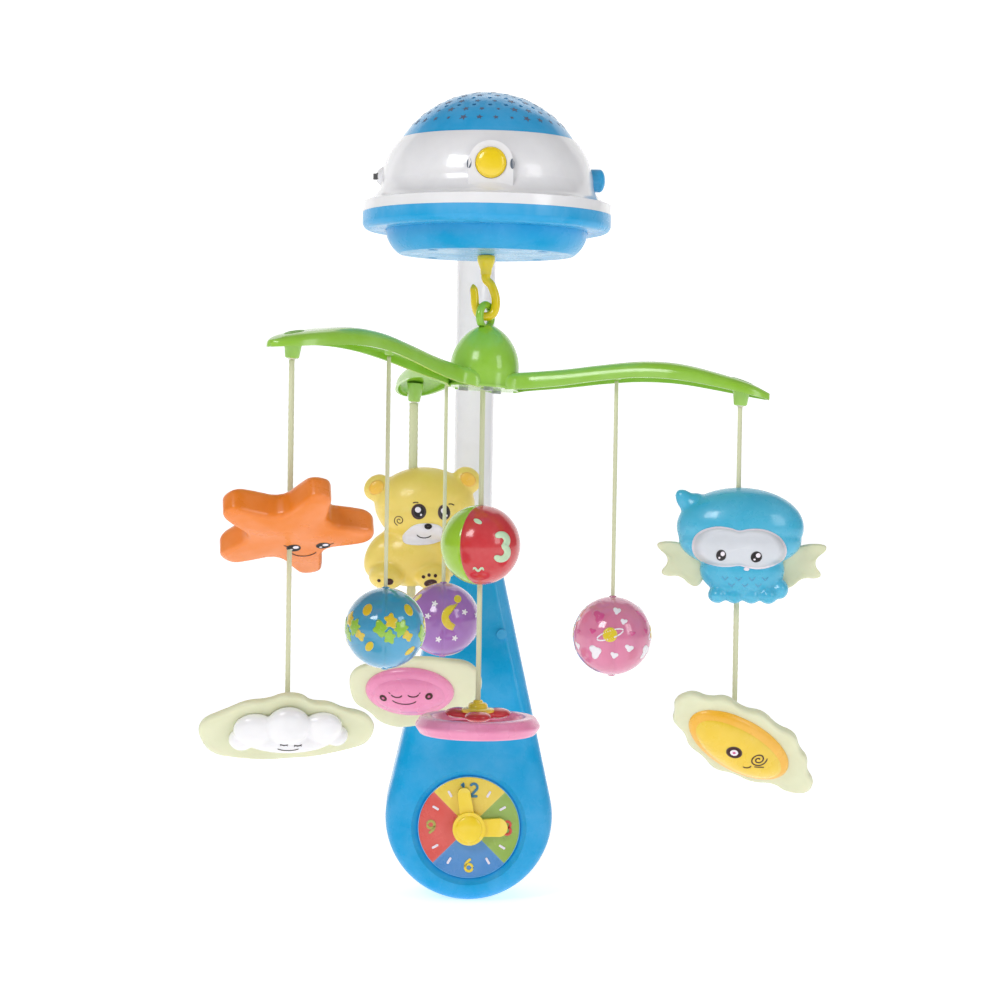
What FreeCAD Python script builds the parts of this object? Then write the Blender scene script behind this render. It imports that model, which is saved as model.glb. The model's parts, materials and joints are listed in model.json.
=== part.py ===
# Musical crib mobile: a rail clamp and teardrop control base, an upright with a forward boom, a
# star projector, and a three-arm mobile that turns below it with its hanging toys.
#
# Millimetres, +Z up, -Y towards the viewer.  The origin is the middle of the base's rear clamping
# face, at the height of the clamp stud.

import FreeCAD, Part

import math
import os

import Sketcher
from FreeCAD import Placement, Rotation, Vector

doc = FreeCAD.newDocument("crib_mobile")
sheet = doc.addObject("Spreadsheet::Sheet", "Sizes")
nodes = []


# ---------------------------------------------------------------- sizes

class Size:
    """A size that knows both its value and the sheet expression that gives it."""

    def __init__(self, value, text):
        self.value = value
        self.text = text

    def __add__(self, other):
        other = as_size(other)
        return Size(self.value + other.value, "(%s + %s)" % (self.text, other.text))

    def __sub__(self, other):
        other = as_size(other)
        return Size(self.value - other.value, "(%s - %s)" % (self.text, other.text))

    def __mul__(self, other):
        other = as_size(other)
        return Size(self.value * other.value, "(%s * %s)" % (self.text, other.text))

    def __truediv__(self, other):
        other = as_size(other)
        return Size(self.value / other.value, "(%s / %s)" % (self.text, other.text))

    def __neg__(self):
        return Size(-self.value, "(0 - %s)" % self.text)

    def __radd__(self, other):
        return as_size(other) + self

    def __rsub__(self, other):
        return as_size(other) - self

    def __rmul__(self, other):
        return as_size(other) * self


def as_size(number):
    if isinstance(number, Size):
        return number
    return Size(float(number), repr(float(number)))


def value_of(number):
    return as_size(number).value


def sine(angle):
    return Size(math.sin(math.radians(angle.value)), "sin(%s)" % angle.text)


def cosine(angle):
    return Size(math.cos(math.radians(angle.value)), "cos(%s)" % angle.text)


class Sizes:
    """The driving dimensions: attribute name, cell alias and value."""

    def __init__(self):
        self.row = 0

    def add(self, **cells):
        for name, value in cells.items():
            self.row += 1
            sheet.set("A%d" % self.row, name.replace("_", " "))
            sheet.set("B%d" % self.row, repr(float(value)))
            sheet.setAlias("B%d" % self.row, name)
            setattr(self, name, Size(float(value), "Sizes." + name))


D = Sizes()
# teardrop base: a circle with two tangent sides running up to the neck
D.add(base_radius=68.3, side_lean=12.65, neck_top=219, base_depth=72, seam_depth=35,
      base_wall=2.5, front_round=13, rear_round=6, front_taper_start=70, front_taper=14,
      rear_taper_start=95, rear_taper=12, fit_gap=0.05)
# play dial on the base
D.add(dial_height=-7.6, dial_radius=42, dial_rim_radius=47, dial_recess=5, dial_plate_thick=2,
      knob_radius=13.4, knob_height=8, long_hand=33, short_hand=31, hand_thick=5, shaft_radius=4)
# electrics in the base
D.add(switch_width=30, switch_depth=9, board_width=84, board_height=56, board_thick=1.6,
      cell_radius=7.2, cell_length=50.5, cell_pitch=15, speaker_radius=25, speaker_depth=12,
      speaker_height=78, neck_screw_x=24.5, neck_screw_z=150, screw_radius=1.6,
      screw_head_radius=3.4, screw_length=20)
# rail clamp
D.add(stud_radius=6, stud_length=78, rail_gap=26, pad_thick=3, jaw_thick=8, jaw_half_width=31,
      jaw_height=62, nut_radius=21, nut_length=18, pad_radius=24)
# upright and boom
D.add(tube_radius=15.9, tube_wall=1.8, tube_bottom=118, tube_joint=400, boom_height=495,
      elbow_radius=34, spigot_length=36, reach=290)
# projector, heights measured from the underside of its white flange
D.add(flange_height=466.4, dome_seam=51, dome_seam_radius=60.5, dome_radius=71.4, dome_wall=1.8,
      shell_wall=2.4, shoulder_height=21, shoulder_radius=73.9, flange_radius=86.5, flange_thick=7,
      ring_height=12, tray_radius=70.5, tray_floor_radius=61, tray_depth=28, star_hole=1.5)
# buttons on the projector
D.add(play_radius=10.2, play_height=27.6, panel_half_width=15, pod_reach=78, pod_half_width=13,
      side_button_height=25)
# rotation drive
D.add(motor_radius=12, motor_length=20, gear_thick=4, pinion_teeth=12, output_teeth=60,
      gear_module=0.8, gear_backlash=0.35)
# hook, heights measured from the hub's reference plane
D.add(hub_plane=316.4, hook_top=121.6, hook_bottom=76.4, hook_wire=2.8, hook_bend=8, hook_collar=8)
# hub and arms
D.add(hub_bottom=28.7, hub_top=72.8, hub_radius=23.8, hub_wall=2.6, hub_foot=1, eye_centre=79.2,
      eye_shift=2.2, eye_radius=8, eye_wire=2.7, tilt_side=3.76, tilt_front=-3.4, tilt_pivot=44,
      arm_azimuth=-14.4, arm_root=21, arm_end=197, arm_root_top=36, arm_tip_top=33, arm_bow=222,
      arm_drop=12, arm_root_width=17, arm_width=40, arm_wide_at=160, arm_wall=2.2, tip_cord=180.6,
      mid_cord=94)
# cords and balls
D.add(cord_radius=1.9, thin_cord_radius=1.5, strap_width=7, strap_thick=2, ball_radius=27.2,
      ball_wall=1.8, cord_gap=0.1)
# hanging heights of the toys, measured from the hub's reference plane
D.add(star_height=-63, cloud_height=-191, bear_height=-76, flower_height=-204, owl_height=-78,
      sun_height=-212, blue_ball_height=-134, purple_ball_height=-140.6, pink_ball_height=-141,
      number_ball_height=-80.5, number_ball_radius=28, ring_height_z=-207)
# star
D.add(star_radius=52, star_tip_radius=11, star_waist=27, star_thick=20, star_round=5.5)
# ring and spinner
D.add(ring_outer=43.8, ring_section=7.5, crossbar_width=8, crossbar_thick=5, lobe_radius=10,
      lobe_reach=17, spinner_thick=7, centre_cord_radius=1.8)
doc.recompute()


# ---------------------------------------------------------------- document helpers

def bind(obj, **properties):
    """Bind each named property of a document object to a size."""
    for name, size in properties.items():
        size = as_size(size)
        setattr(obj, name, size.value)
        obj.setExpression(name, size.text)


def place(obj, x=0, y=0, z=0, turn=None):
    """Put an object at bound coordinates, with an optional fixed rotation."""
    obj.Placement = Placement(Vector(value_of(x), value_of(y), value_of(z)), turn or Rotation())
    for axis, size in (("x", x), ("y", y), ("z", z)):
        if isinstance(size, Size):
            obj.setExpression("Placement.Base." + axis, size.text)
    return obj


ALONG_Y = Rotation(Vector(1, 0, 0), -90)
ALONG_MINUS_Y = Rotation(Vector(1, 0, 0), 90)
ALONG_X = Rotation(Vector(0, 1, 0), 90)


def cylinder(name, radius, height, x=0, y=0, z=0, turn=None):
    obj = doc.addObject("Part::Cylinder", name)
    bind(obj, Radius=radius, Height=height)
    return place(obj, x, y, z, turn)


def cone(name, radius_low, radius_high, height, x=0, y=0, z=0, turn=None):
    obj = doc.addObject("Part::Cone", name)
    bind(obj, Radius1=radius_low, Radius2=radius_high, Height=height)
    return place(obj, x, y, z, turn)


def block(name, length, width, height, x=0, y=0, z=0, turn=None):
    """A box with its lowest corner at the given place."""
    obj = doc.addObject("Part::Box", name)
    bind(obj, Length=length, Width=width, Height=height)
    return place(obj, x, y, z, turn)


def sphere(name, radius, x=0, y=0, z=0):
    obj = doc.addObject("Part::Sphere", name)
    bind(obj, Radius=radius)
    return place(obj, x, y, z)


def torus(name, radius, section, x=0, y=0, z=0, turn=None):
    obj = doc.addObject("Part::Torus", name)
    bind(obj, Radius1=radius, Radius2=section)
    return place(obj, x, y, z, turn)


def ellipsoid(name, half_x, half_y, half_z, x=0, y=0, z=0, turn=None):
    obj = doc.addObject("Part::Ellipsoid", name)
    bind(obj, Radius1=half_z, Radius2=half_x, Radius3=half_y)
    obj.Angle1 = -90
    obj.Angle2 = 90
    return place(obj, x, y, z, turn)


def bundle(name, *shapes):
    """Several separate shapes kept together without joining them."""
    obj = doc.addObject("Part::Compound", name)
    obj.Links = list(shapes)
    return obj


def fuse(name, *shapes):
    obj = doc.addObject("Part::MultiFuse", name)
    obj.Shapes = list(shapes)
    return obj


def cut(name, base, *tools):
    obj = doc.addObject("Part::Cut", name)
    obj.Base = base
    obj.Tool = tools[0] if len(tools) == 1 else fuse(name + "_tools", *tools)
    return obj


def common(name, first, second):
    obj = doc.addObject("Part::MultiCommon", name)
    obj.Shapes = [first, second]
    return obj


def publish(obj, label):
    """Give a finished sub-part the label that names its file."""
    obj.Label = label
    nodes.append(obj)
    return obj


def plane_of(body, role):
    for feature in body.Origin.OriginFeatures:
        if feature.Role == role:
            return feature
    raise ValueError(role)


def pin_point(sketch, geometry, end, x, y):
    """Hold a sketch point at bound coordinates from the sketch's origin."""
    for kind, size, axis in (("DistanceX", x, -2), ("DistanceY", y, -1)):
        if value_of(size) == 0:
            sketch.addConstraint(Sketcher.Constraint("PointOnObject", geometry, end, axis))
            continue
        index = sketch.addConstraint(
            Sketcher.Constraint(kind, -1, 1, geometry, end, value_of(size)))
        sketch.setExpression("Constraints[%d]" % index, as_size(size).text)


def arc_centre(start, end, radius):
    """Centre of the arc from start to end; a positive radius puts it on the left."""
    chord = end - start
    rise = math.sqrt(max(radius * radius - chord.Length ** 2 / 4, 0))
    left = Vector(-chord.y, chord.x, 0).normalize()
    return (start + end) * 0.5 + left * math.copysign(rise, radius)


def outline(sketch, corners):
    """Draw a closed outline.  A corner is (x, y) or (x, y, radius), where the radius bends the
    side that leaves it: positive turns left (anticlockwise), negative turns right."""
    points = [Vector(value_of(c[0]), value_of(c[1]), 0) for c in corners]
    sides = []
    for number, corner in enumerate(corners):
        start = points[number]
        end = points[(number + 1) % len(points)]
        if len(corner) == 2:
            side = sketch.addGeometry(Part.LineSegment(start, end), False)
            sides.append((side, 1, 2))
            continue
        radius = value_of(corner[2])
        centre = arc_centre(start, end, radius)
        low, high = (start, end) if radius > 0 else (end, start)
        first = math.atan2(low.y - centre.y, low.x - centre.x)
        last = math.atan2(high.y - centre.y, high.x - centre.x)
        if last < first:
            last += 2 * math.pi
        circle = Part.Circle(centre, Vector(0, 0, 1), abs(radius))
        side = sketch.addGeometry(Part.ArcOfCircle(circle, first, last), False)
        sides.append((side, 1, 2) if radius > 0 else (side, 2, 1))
    for number, corner in enumerate(corners):
        side, start_end, _ = sides[number]
        before, _, before_end = sides[number - 1]
        sketch.addConstraint(
            Sketcher.Constraint("Coincident", before, before_end, side, start_end))
        pin_point(sketch, side, start_end, corner[0], corner[1])
        if len(corner) == 3:
            size = as_size(corner[2])
            size = size if size.value > 0 else -size
            index = sketch.addConstraint(Sketcher.Constraint("Radius", side, size.value))
            sketch.setExpression("Constraints[%d]" % index, size.text)


def new_sketch(body, name, role, offset=0):
    sketch = body.newObject("Sketcher::SketchObject", name)
    sketch.AttachmentSupport = [(plane_of(body, role), "")]
    sketch.MapMode = "FlatFace"
    if value_of(offset) != 0:
        sketch.AttachmentOffset = Placement(Vector(0, 0, value_of(offset)), Rotation())
        sketch.setExpression("AttachmentOffset.Base.z", as_size(offset).text)
    return sketch


def turned(name, corners):
    """A body turned about Z from an outline of (radius, height) corners."""
    body = doc.addObject("PartDesign::Body", name)
    sketch = new_sketch(body, name + "_profile", "XZ_Plane")
    outline(sketch, corners)
    feature = body.newObject("PartDesign::Revolution", name + "_turn")
    feature.Profile = sketch
    feature.ReferenceAxis = (sketch, ["V_Axis"])
    feature.Angle = 360
    return body


def padded(name, role, corners, length, offset=0, midplane=False):
    """A body padded from an outline on one of its origin planes."""
    body = doc.addObject("PartDesign::Body", name)
    sketch = new_sketch(body, name + "_outline", role, offset)
    outline(sketch, corners)
    feature = body.newObject("PartDesign::Pad", name + "_pad")
    feature.Profile = sketch
    bind(feature, Length=length)
    feature.Midplane = midplane
    return body


def pocket(body, name, role, corners, length, offset=0, midplane=True):
    """Cut a pocket from an outline on one of the body's origin planes."""
    sketch = new_sketch(body, name + "_outline", role, offset)
    outline(sketch, corners)
    feature = body.newObject("PartDesign::Pocket", name)
    feature.Profile = sketch
    bind(feature, Length=length)
    feature.Midplane = midplane
    return body


def round_edges(body, name, radius, wanted):
    """Fillet the edges of a body for which wanted(edge) is true."""
    doc.recompute()
    base = body.Tip
    names = ["Edge%d" % (i + 1) for i, edge in enumerate(body.Shape.Edges) if wanted(edge)]
    feature = body.newObject("PartDesign::Fillet", name)
    feature.Base = (base, names)
    bind(feature, Radius=radius)
    return body


def ball_shell(label, radius, wall, cord):
    """A hollow ball about its own centre, open at the top and bottom for its cord."""
    outer = sphere(label + "_outer", radius)
    inner = sphere(label + "_inner", radius - wall)
    reach = radius * 2
    hole = cylinder(label + "_hole", cord + D.cord_gap, reach * 2, z=-reach)
    return cut(label, outer, inner, hole)


# ---------------------------------------------------------------- teardrop base

def teardrop(name, inset):
    """The base's outer form, or the same form drawn in by a wall's thickness."""
    radius = D.base_radius - inset
    top = D.neck_top - inset
    foot_x = radius * cosine(D.side_lean)
    foot_z = radius * sine(D.side_lean)
    half_neck = (radius - top * sine(D.side_lean)) / cosine(D.side_lean)
    body = padded(name, "XZ_Plane", [
        (foot_x, foot_z), (half_neck, top), (-half_neck, top), (-foot_x, foot_z, radius),
        (0, -radius, radius)], D.base_depth - 2 * inset, offset=inset)
    front = -D.base_depth + inset
    rear = -as_size(inset)
    beyond = D.neck_top + 10
    width = 2 * D.base_radius + 10
    pocket(body, name + "_front_taper", "YZ_Plane", [
        (front, D.front_taper_start), (front + D.front_taper, D.neck_top),
        (front + D.front_taper, beyond), (front - 10, beyond), (front - 10, D.front_taper_start)],
        width)
    pocket(body, name + "_rear_taper", "YZ_Plane", [
        (rear, D.rear_taper_start), (rear + 10, D.rear_taper_start), (rear + 10, beyond),
        (rear - D.rear_taper, beyond), (rear - D.rear_taper, D.neck_top)], width)
    front_y = front.value
    rear_y = rear.value
    taper = D.front_taper.value

    def front_edge(edge):
        middle = edge.valueAt((edge.FirstParameter + edge.LastParameter) / 2)
        return middle.y < front_y + taper * 0.9 and edge_is_rim(edge, front_y + taper + 0.1)

    def edge_is_rim(edge, limit):
        ends = [v.Point for v in edge.Vertexes]
        on_front = all(p.y < limit for p in ends)
        return on_front and not all(abs(p.z - D.front_taper_start.value) < 0.1 for p in ends)

    def rear_edge(edge):
        ends = [v.Point for v in edge.Vertexes]
        on_rear = all(p.y > rear_y - D.rear_taper.value - 0.1 for p in ends)
        return on_rear and not all(abs(p.z - D.rear_taper_start.value) < 0.1 for p in ends)

    round_edges(body, name + "_front_round", D.front_round - inset, front_edge)
    round_edges(body, name + "_rear_round", D.rear_round - inset, rear_edge)
    return body


def base_half(name, rear):
    """One hollow half of the base, split at the upright's axis."""
    outer = teardrop(name + "_outer", as_size(0))
    inner = teardrop(name + "_inner", D.base_wall)
    span = D.base_radius * 4
    start = -D.seam_depth if rear else -D.seam_depth - span
    half = block(name + "_half", span, span, D.neck_top * 2, x=-D.base_radius * 2,
                 y=start, z=-D.neck_top)
    return common(name + "_form", outer, half), inner


def screw_places():
    """Middle of each base screw as (x, z)."""
    low = D.base_radius * 0.74
    return [(low, 22), (-low, 22), (D.neck_screw_x, D.neck_screw_z),
            (-D.neck_screw_x, D.neck_screw_z)]


def make_base():
    tube_hole_radius = D.tube_radius + D.fit_gap
    tube_hole = cylinder("base_tube_hole", tube_hole_radius, 60, y=-D.seam_depth,
                         z=D.neck_top - 40)
    front_form, front_inner = base_half("front", False)
    recess = cone("dial_recess", D.dial_rim_radius, D.dial_radius, D.dial_recess,
                  y=-D.base_depth, z=D.dial_height, turn=ALONG_Y)
    shaft_hole = cylinder("dial_shaft_hole", D.shaft_radius + D.fit_gap, 20, y=-D.base_depth,
                          z=D.dial_height, turn=ALONG_Y)
    floor = cylinder("dial_floor", D.dial_rim_radius + 2, D.dial_recess + D.base_wall,
                     y=-D.base_depth, z=D.dial_height, turn=ALONG_Y)
    posts = []
    bores = []
    sinks = []
    clears = []
    for number, (x, z) in enumerate(screw_places()):
        posts.append(cylinder("front_post%d" % number, 4.2, D.base_depth - D.seam_depth - 6,
                              x=x, y=-D.base_depth + 6, z=z, turn=ALONG_Y))
        bores.append(cylinder("front_bore%d" % number, D.screw_radius, 24, x=x,
                              y=-D.seam_depth - 20, z=z, turn=ALONG_Y))
        clears.append(cylinder("rear_clear%d" % number, D.screw_radius + 0.1, 60, x=x,
                               y=-D.seam_depth - 1, z=z, turn=ALONG_Y))
        sinks.append(cylinder("rear_sink%d" % number, D.screw_head_radius + 0.3, 60, x=x,
                              y=-D.seam_depth + 12, z=z, turn=ALONG_Y))
    hollow = cut("front_hollow", front_form, front_inner)
    filled = fuse("front_filled", hollow, common("dial_floor_trim", floor, front_form), *posts)
    front = cut("front_shell", filled, recess, shaft_hole, tube_hole, *bores)
    publish(front, "base_front_shell")

    rear_form, rear_inner = base_half("rear", True)
    rear_posts = [cylinder("rear_post%d" % number, 5.4, D.seam_depth - 1, x=x,
                           y=-D.seam_depth, z=z, turn=ALONG_Y)
                  for number, (x, z) in enumerate(screw_places())]
    rear_hollow = cut("rear_hollow", rear_form, rear_inner)
    posts_in_form = common("rear_posts_trim", fuse("rear_posts", *rear_posts), rear_form)
    boss = cylinder("stud_boss", D.stud_radius + 6, 14, y=-14, turn=ALONG_Y)
    stud_hole = cylinder("stud_hole", D.stud_radius + D.fit_gap, 30, y=-20, turn=ALONG_Y)
    flange_seat = cylinder("stud_flange_seat", D.stud_radius + 3 + D.fit_gap, 10, y=-24,
                           turn=ALONG_Y)
    door_hole = block("door_hole", D.cell_length + 6, 12, D.cell_pitch * 3 + 1,
                      x=-(D.cell_length + 6) / 2, y=-8, z=-60)
    sound_holes = []
    for ring in range(3):
        for step in range(max(1, 6 * ring)):
            turn = 2 * math.pi * step / max(1, 6 * ring)
            sound_holes.append(cylinder("sound_hole", 1.3, 20, x=6.5 * ring * math.cos(turn),
                                        y=-10, z=D.speaker_height + 6.5 * ring * math.sin(turn),
                                        turn=ALONG_Y))
    rear_filled = fuse("rear_filled", rear_hollow, posts_in_form, boss)
    rear = cut("rear_shell", rear_filled, stud_hole, flange_seat, door_hole, tube_hole,
               *(clears + sinks + sound_holes))
    publish(rear, "base_rear_shell")
    publish(block("door", D.cell_length + 5.6, D.base_wall, D.cell_pitch * 3 + 0.6,
                  x=-(D.cell_length + 5.6) / 2, y=-D.base_wall, z=-59.8), "battery_door")

    screws = []
    for number, (x, z) in enumerate(screw_places()):
        shank = cylinder("screw_shank%d" % number, D.screw_radius, D.screw_length, x=x,
                         y=-D.seam_depth + 12 - D.screw_length, z=z, turn=ALONG_Y)
        head = cylinder("screw_head%d" % number, D.screw_head_radius, 2.4, x=x,
                        y=-D.seam_depth + 12, z=z, turn=ALONG_Y)
        cross = block("screw_cross%d" % number, 4, 1, 0.9, y=-D.seam_depth + 13.5, x=x - 2,
                      z=as_size(z) - 0.45)
        screws.append(cut("screw%d" % number, fuse("screw_blank%d" % number, shank, head), cross))
    publish(fuse("screws", *screws), "base_screws")


def make_base_inside():
    floor_y = -D.base_depth + D.dial_recess
    plate = cylinder("plate_disc", D.dial_radius - 0.4, D.dial_plate_thick,
                     y=floor_y - D.dial_plate_thick, z=D.dial_height, turn=ALONG_Y)
    hole = cylinder("plate_hole", D.shaft_radius + 1, 10, y=floor_y - 5, z=D.dial_height,
                    turn=ALONG_Y)
    publish(cut("plate", plate, hole), "dial_plate")

    switch_y = floor_y + D.base_wall
    housing = block("switch_housing", D.switch_width, D.switch_depth, D.switch_width,
                    x=-D.switch_width / 2, y=switch_y, z=D.dial_height - D.switch_width / 2)
    bore = cylinder("switch_bore", D.shaft_radius + D.fit_gap, D.switch_depth + 2, y=switch_y - 1,
                    z=D.dial_height, turn=ALONG_Y)
    publish(cut("switch", housing, bore), "rotary_switch")

    board_y = switch_y + D.switch_depth
    board = block("board_sheet", D.board_width, D.board_thick, D.board_height,
                  x=-D.board_width / 2, y=board_y, z=D.dial_height - D.board_height / 2)
    chips = [block("board_chip%d" % i, w, 2, l, x=x, y=board_y - 2, z=z) for i, (x, z, w, l) in
             enumerate([(-36, -12, 12, 12), (22, -16, 9, 14), (-34, 12, 8, 6), (24, 8, 6, 12)])]
    publish(fuse("board", board, *chips), "base_board")

    rear_inside = -D.base_wall
    cells = []
    for row in range(3):
        z = -21 - D.cell_pitch.value * row
        cell = cylinder("cell_can%d" % row, D.cell_radius, D.cell_length - 1.5,
                        x=-D.cell_length / 2, y=rear_inside - D.cell_radius - 1, z=z,
                        turn=ALONG_X)
        cap = cylinder("cell_cap%d" % row, 2.6, D.cell_length, x=-D.cell_length / 2,
                       y=rear_inside - D.cell_radius - 1, z=z, turn=ALONG_X)
        cells.append(fuse("cell%d" % row, cell, cap))
    publish(fuse("cells", *cells), "battery_cells")

    magnet = cylinder("speaker_magnet", D.speaker_radius * 0.5, D.speaker_depth,
                      y=-D.base_wall - 2 - D.speaker_depth, z=D.speaker_height, turn=ALONG_Y)
    basket = cylinder("speaker_rim", D.speaker_radius, 3, y=-D.base_wall - 5,
                      z=D.speaker_height, turn=ALONG_Y)
    publish(fuse("speaker_unit", magnet, basket), "speaker")


def make_dial_knob():
    """A clock-like knob: a round hub with a long and a short hand, on its switch shaft."""
    plate_y = -D.base_depth + D.dial_recess - D.dial_plate_thick
    back_y = plate_y - 1
    hub = cylinder("knob_hub", D.knob_radius, D.knob_height, y=back_y, z=D.dial_height,
                   turn=ALONG_MINUS_Y)
    crown = ellipsoid("knob_crown", D.knob_radius * 0.8, 2.4, D.knob_radius * 0.8,
                      y=back_y - D.knob_height, z=D.dial_height)
    shaft = cylinder("knob_shaft", D.shaft_radius, 14, y=back_y, z=D.dial_height, turn=ALONG_Y)
    long_hand = padded("long_hand", "XZ_Plane", [
        (-6.2, 0), (6.2, 0), (5.2, D.long_hand - 4, 5.3), (-5.2, D.long_hand - 4)],
        D.hand_thick)
    place(long_hand, y=back_y, z=D.dial_height, turn=Rotation(Vector(0, 1, 0), -9))
    short_hand = padded("short_hand", "XZ_Plane", [
        (-6.5, 0), (6.5, 0), (7.5, D.short_hand - 6, 7.6), (-7.5, D.short_hand - 6)],
        D.hand_thick)
    place(short_hand, y=back_y, z=D.dial_height, turn=Rotation(Vector(0, 1, 0), 88))
    publish(fuse("knob", hub, crown, shaft, long_hand, short_hand), "dial_knob")


# ---------------------------------------------------------------- rail clamp

def make_clamp():
    flange = cylinder("stud_flange", D.stud_radius + 3, 4, y=-18.1, turn=ALONG_Y)
    rod = cylinder("stud_rod", D.stud_radius, D.stud_length + 18.1, y=-18.1, turn=ALONG_Y)
    tip = cone("stud_tip", D.stud_radius, D.stud_radius - 1.5, 2, y=D.stud_length, turn=ALONG_Y)
    publish(fuse("stud", flange, rod, tip), "clamp_stud")

    pad = cylinder("pad_disc", D.pad_radius, D.pad_thick, turn=ALONG_Y)
    pad_hole = cylinder("pad_hole", D.stud_radius + 1.5, 20, y=-5, turn=ALONG_Y)
    publish(cut("pad", pad, pad_hole), "rail_pad")

    face_y = D.pad_thick + D.rail_gap
    lip = cylinder("jaw_pad_disc", D.pad_radius, D.pad_thick, y=face_y, turn=ALONG_Y)
    lip_hole = cylinder("jaw_pad_hole", D.stud_radius + 1.5, 20, y=face_y - 5, turn=ALONG_Y)
    publish(cut("jaw_pad", lip, lip_hole), "clamp_pad")

    jaw_y = face_y + D.pad_thick
    half_width = D.jaw_half_width
    waist = D.jaw_height - D.jaw_half_width
    crest = half_width * 0.6
    jaw = padded("jaw_plate", "XZ_Plane", [
        (half_width, 0), (crest, waist, crest), (0, waist + crest, crest), (-crest, waist),
        (-half_width, 0, half_width), (0, -half_width, half_width)], D.jaw_thick)
    place(jaw, y=jaw_y + D.jaw_thick)
    jaw_hole = cylinder("jaw_hole", D.stud_radius + D.fit_gap, 30, y=jaw_y - 5, turn=ALONG_Y)
    publish(cut("jaw", jaw, jaw_hole), "clamp_plate")

    nut_y = jaw_y + D.jaw_thick + 0.1
    nut_core = cylinder("nut_core", D.nut_radius - 3, D.nut_length, y=nut_y, turn=ALONG_Y)
    nut_skirt = cylinder("nut_skirt", D.nut_radius - 1, 3, y=nut_y, turn=ALONG_Y)
    grips = [cylinder("nut_grip%d" % i, 4, D.nut_length - 4,
                      x=(D.nut_radius - 4) * math.cos(i * math.pi / 4), y=nut_y + 3,
                      z=(D.nut_radius - 4) * math.sin(i * math.pi / 4), turn=ALONG_Y)
             for i in range(8)]
    nut_hole = cylinder("nut_hole", D.stud_radius + D.fit_gap, 60, y=nut_y - 5, turn=ALONG_Y)
    publish(cut("nut", fuse("nut_blank", nut_core, nut_skirt, *grips), nut_hole), "clamp_nut")


# ---------------------------------------------------------------- upright and boom

def make_tubes():
    outer = cylinder("upright_outer", D.tube_radius, D.tube_joint - D.tube_bottom,
                     y=-D.seam_depth, z=D.tube_bottom)
    inner = cylinder("upright_inner", D.tube_radius - D.tube_wall, 600, y=-D.seam_depth, z=0)
    publish(cut("upright", outer, inner), "upright_tube")

    body = doc.addObject("PartDesign::Body", "boom")
    spine = new_sketch(body, "boom_spine", "YZ_Plane")
    straight_top = D.boom_height - D.elbow_radius
    bend_end = -D.seam_depth - D.elbow_radius
    reach_end = -D.seam_depth - D.reach + D.shoulder_radius - 3
    rise = spine.addGeometry(Part.LineSegment(
        Vector(-D.seam_depth.value, D.tube_joint.value, 0),
        Vector(-D.seam_depth.value, straight_top.value, 0)), False)
    centre = Vector(bend_end.value, straight_top.value, 0)
    bend = spine.addGeometry(Part.ArcOfCircle(
        Part.Circle(centre, Vector(0, 0, 1), D.elbow_radius.value), 0, math.pi / 2), False)
    run = spine.addGeometry(Part.LineSegment(
        Vector(bend_end.value, D.boom_height.value, 0),
        Vector(reach_end.value, D.boom_height.value, 0)), False)
    spine.addConstraint(Sketcher.Constraint("Coincident", rise, 2, bend, 1))
    spine.addConstraint(Sketcher.Constraint("Coincident", bend, 2, run, 1))
    pin_point(spine, rise, 1, -D.seam_depth, D.tube_joint)
    pin_point(spine, rise, 2, -D.seam_depth, straight_top)
    pin_point(spine, bend, 3, bend_end, straight_top)
    pin_point(spine, run, 2, reach_end, D.boom_height)
    spine.addConstraint(Sketcher.Constraint("Vertical", bend, 3, bend, 2))

    section = new_sketch(body, "boom_section", "XY_Plane", D.tube_joint)
    for number, radius in enumerate((D.tube_radius, D.tube_radius - D.tube_wall)):
        section.addGeometry(Part.Circle(Vector(0, -D.seam_depth.value, 0), Vector(0, 0, 1),
                                        radius.value), False)
        pin_point(section, number, 3, 0, -D.seam_depth)
        index = section.addConstraint(Sketcher.Constraint("Radius", number, radius.value))
        section.setExpression("Constraints[%d]" % index, radius.text)
    pipe = body.newObject("PartDesign::AdditivePipe", "boom_pipe")
    pipe.Profile = section
    pipe.Spine = spine
    spigot_outer = cylinder("spigot_outer", D.tube_radius - D.tube_wall - D.fit_gap,
                            D.spigot_length * 2, y=-D.seam_depth,
                            z=D.tube_joint - D.spigot_length)
    spigot_inner = cylinder("spigot_inner", D.tube_radius - 2 * D.tube_wall, 600,
                            y=-D.seam_depth, z=0)
    trim = block("spigot_trim", 60, 60, D.spigot_length + 8, x=-30,
                 y=-D.seam_depth - 30, z=D.tube_joint - D.spigot_length)
    collar = cut("boom_collar", cylinder("boom_collar_outer", D.tube_radius - D.tube_wall / 2, 8,
                                         y=-D.seam_depth, z=D.tube_joint), spigot_inner)
    spigot = common("spigot", cut("spigot_tube", spigot_outer, spigot_inner), trim)
    publish(fuse("boom_with_spigot", body, spigot, collar), "boom_arm")


# ---------------------------------------------------------------- projector

HUB_Y = -D.seam_depth - D.reach


def shell_points(inset, bottom):
    """Right-hand side of the white shell, from its seam down to its flange."""
    return [(D.dome_seam_radius + 0.8 - inset, D.dome_seam - inset * 0.3, -(46 - inset)),
            (D.shoulder_radius - inset, D.shoulder_height, 16 + inset),
            (D.flange_radius - inset, D.flange_thick), (D.flange_radius - inset, bottom)]


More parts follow.
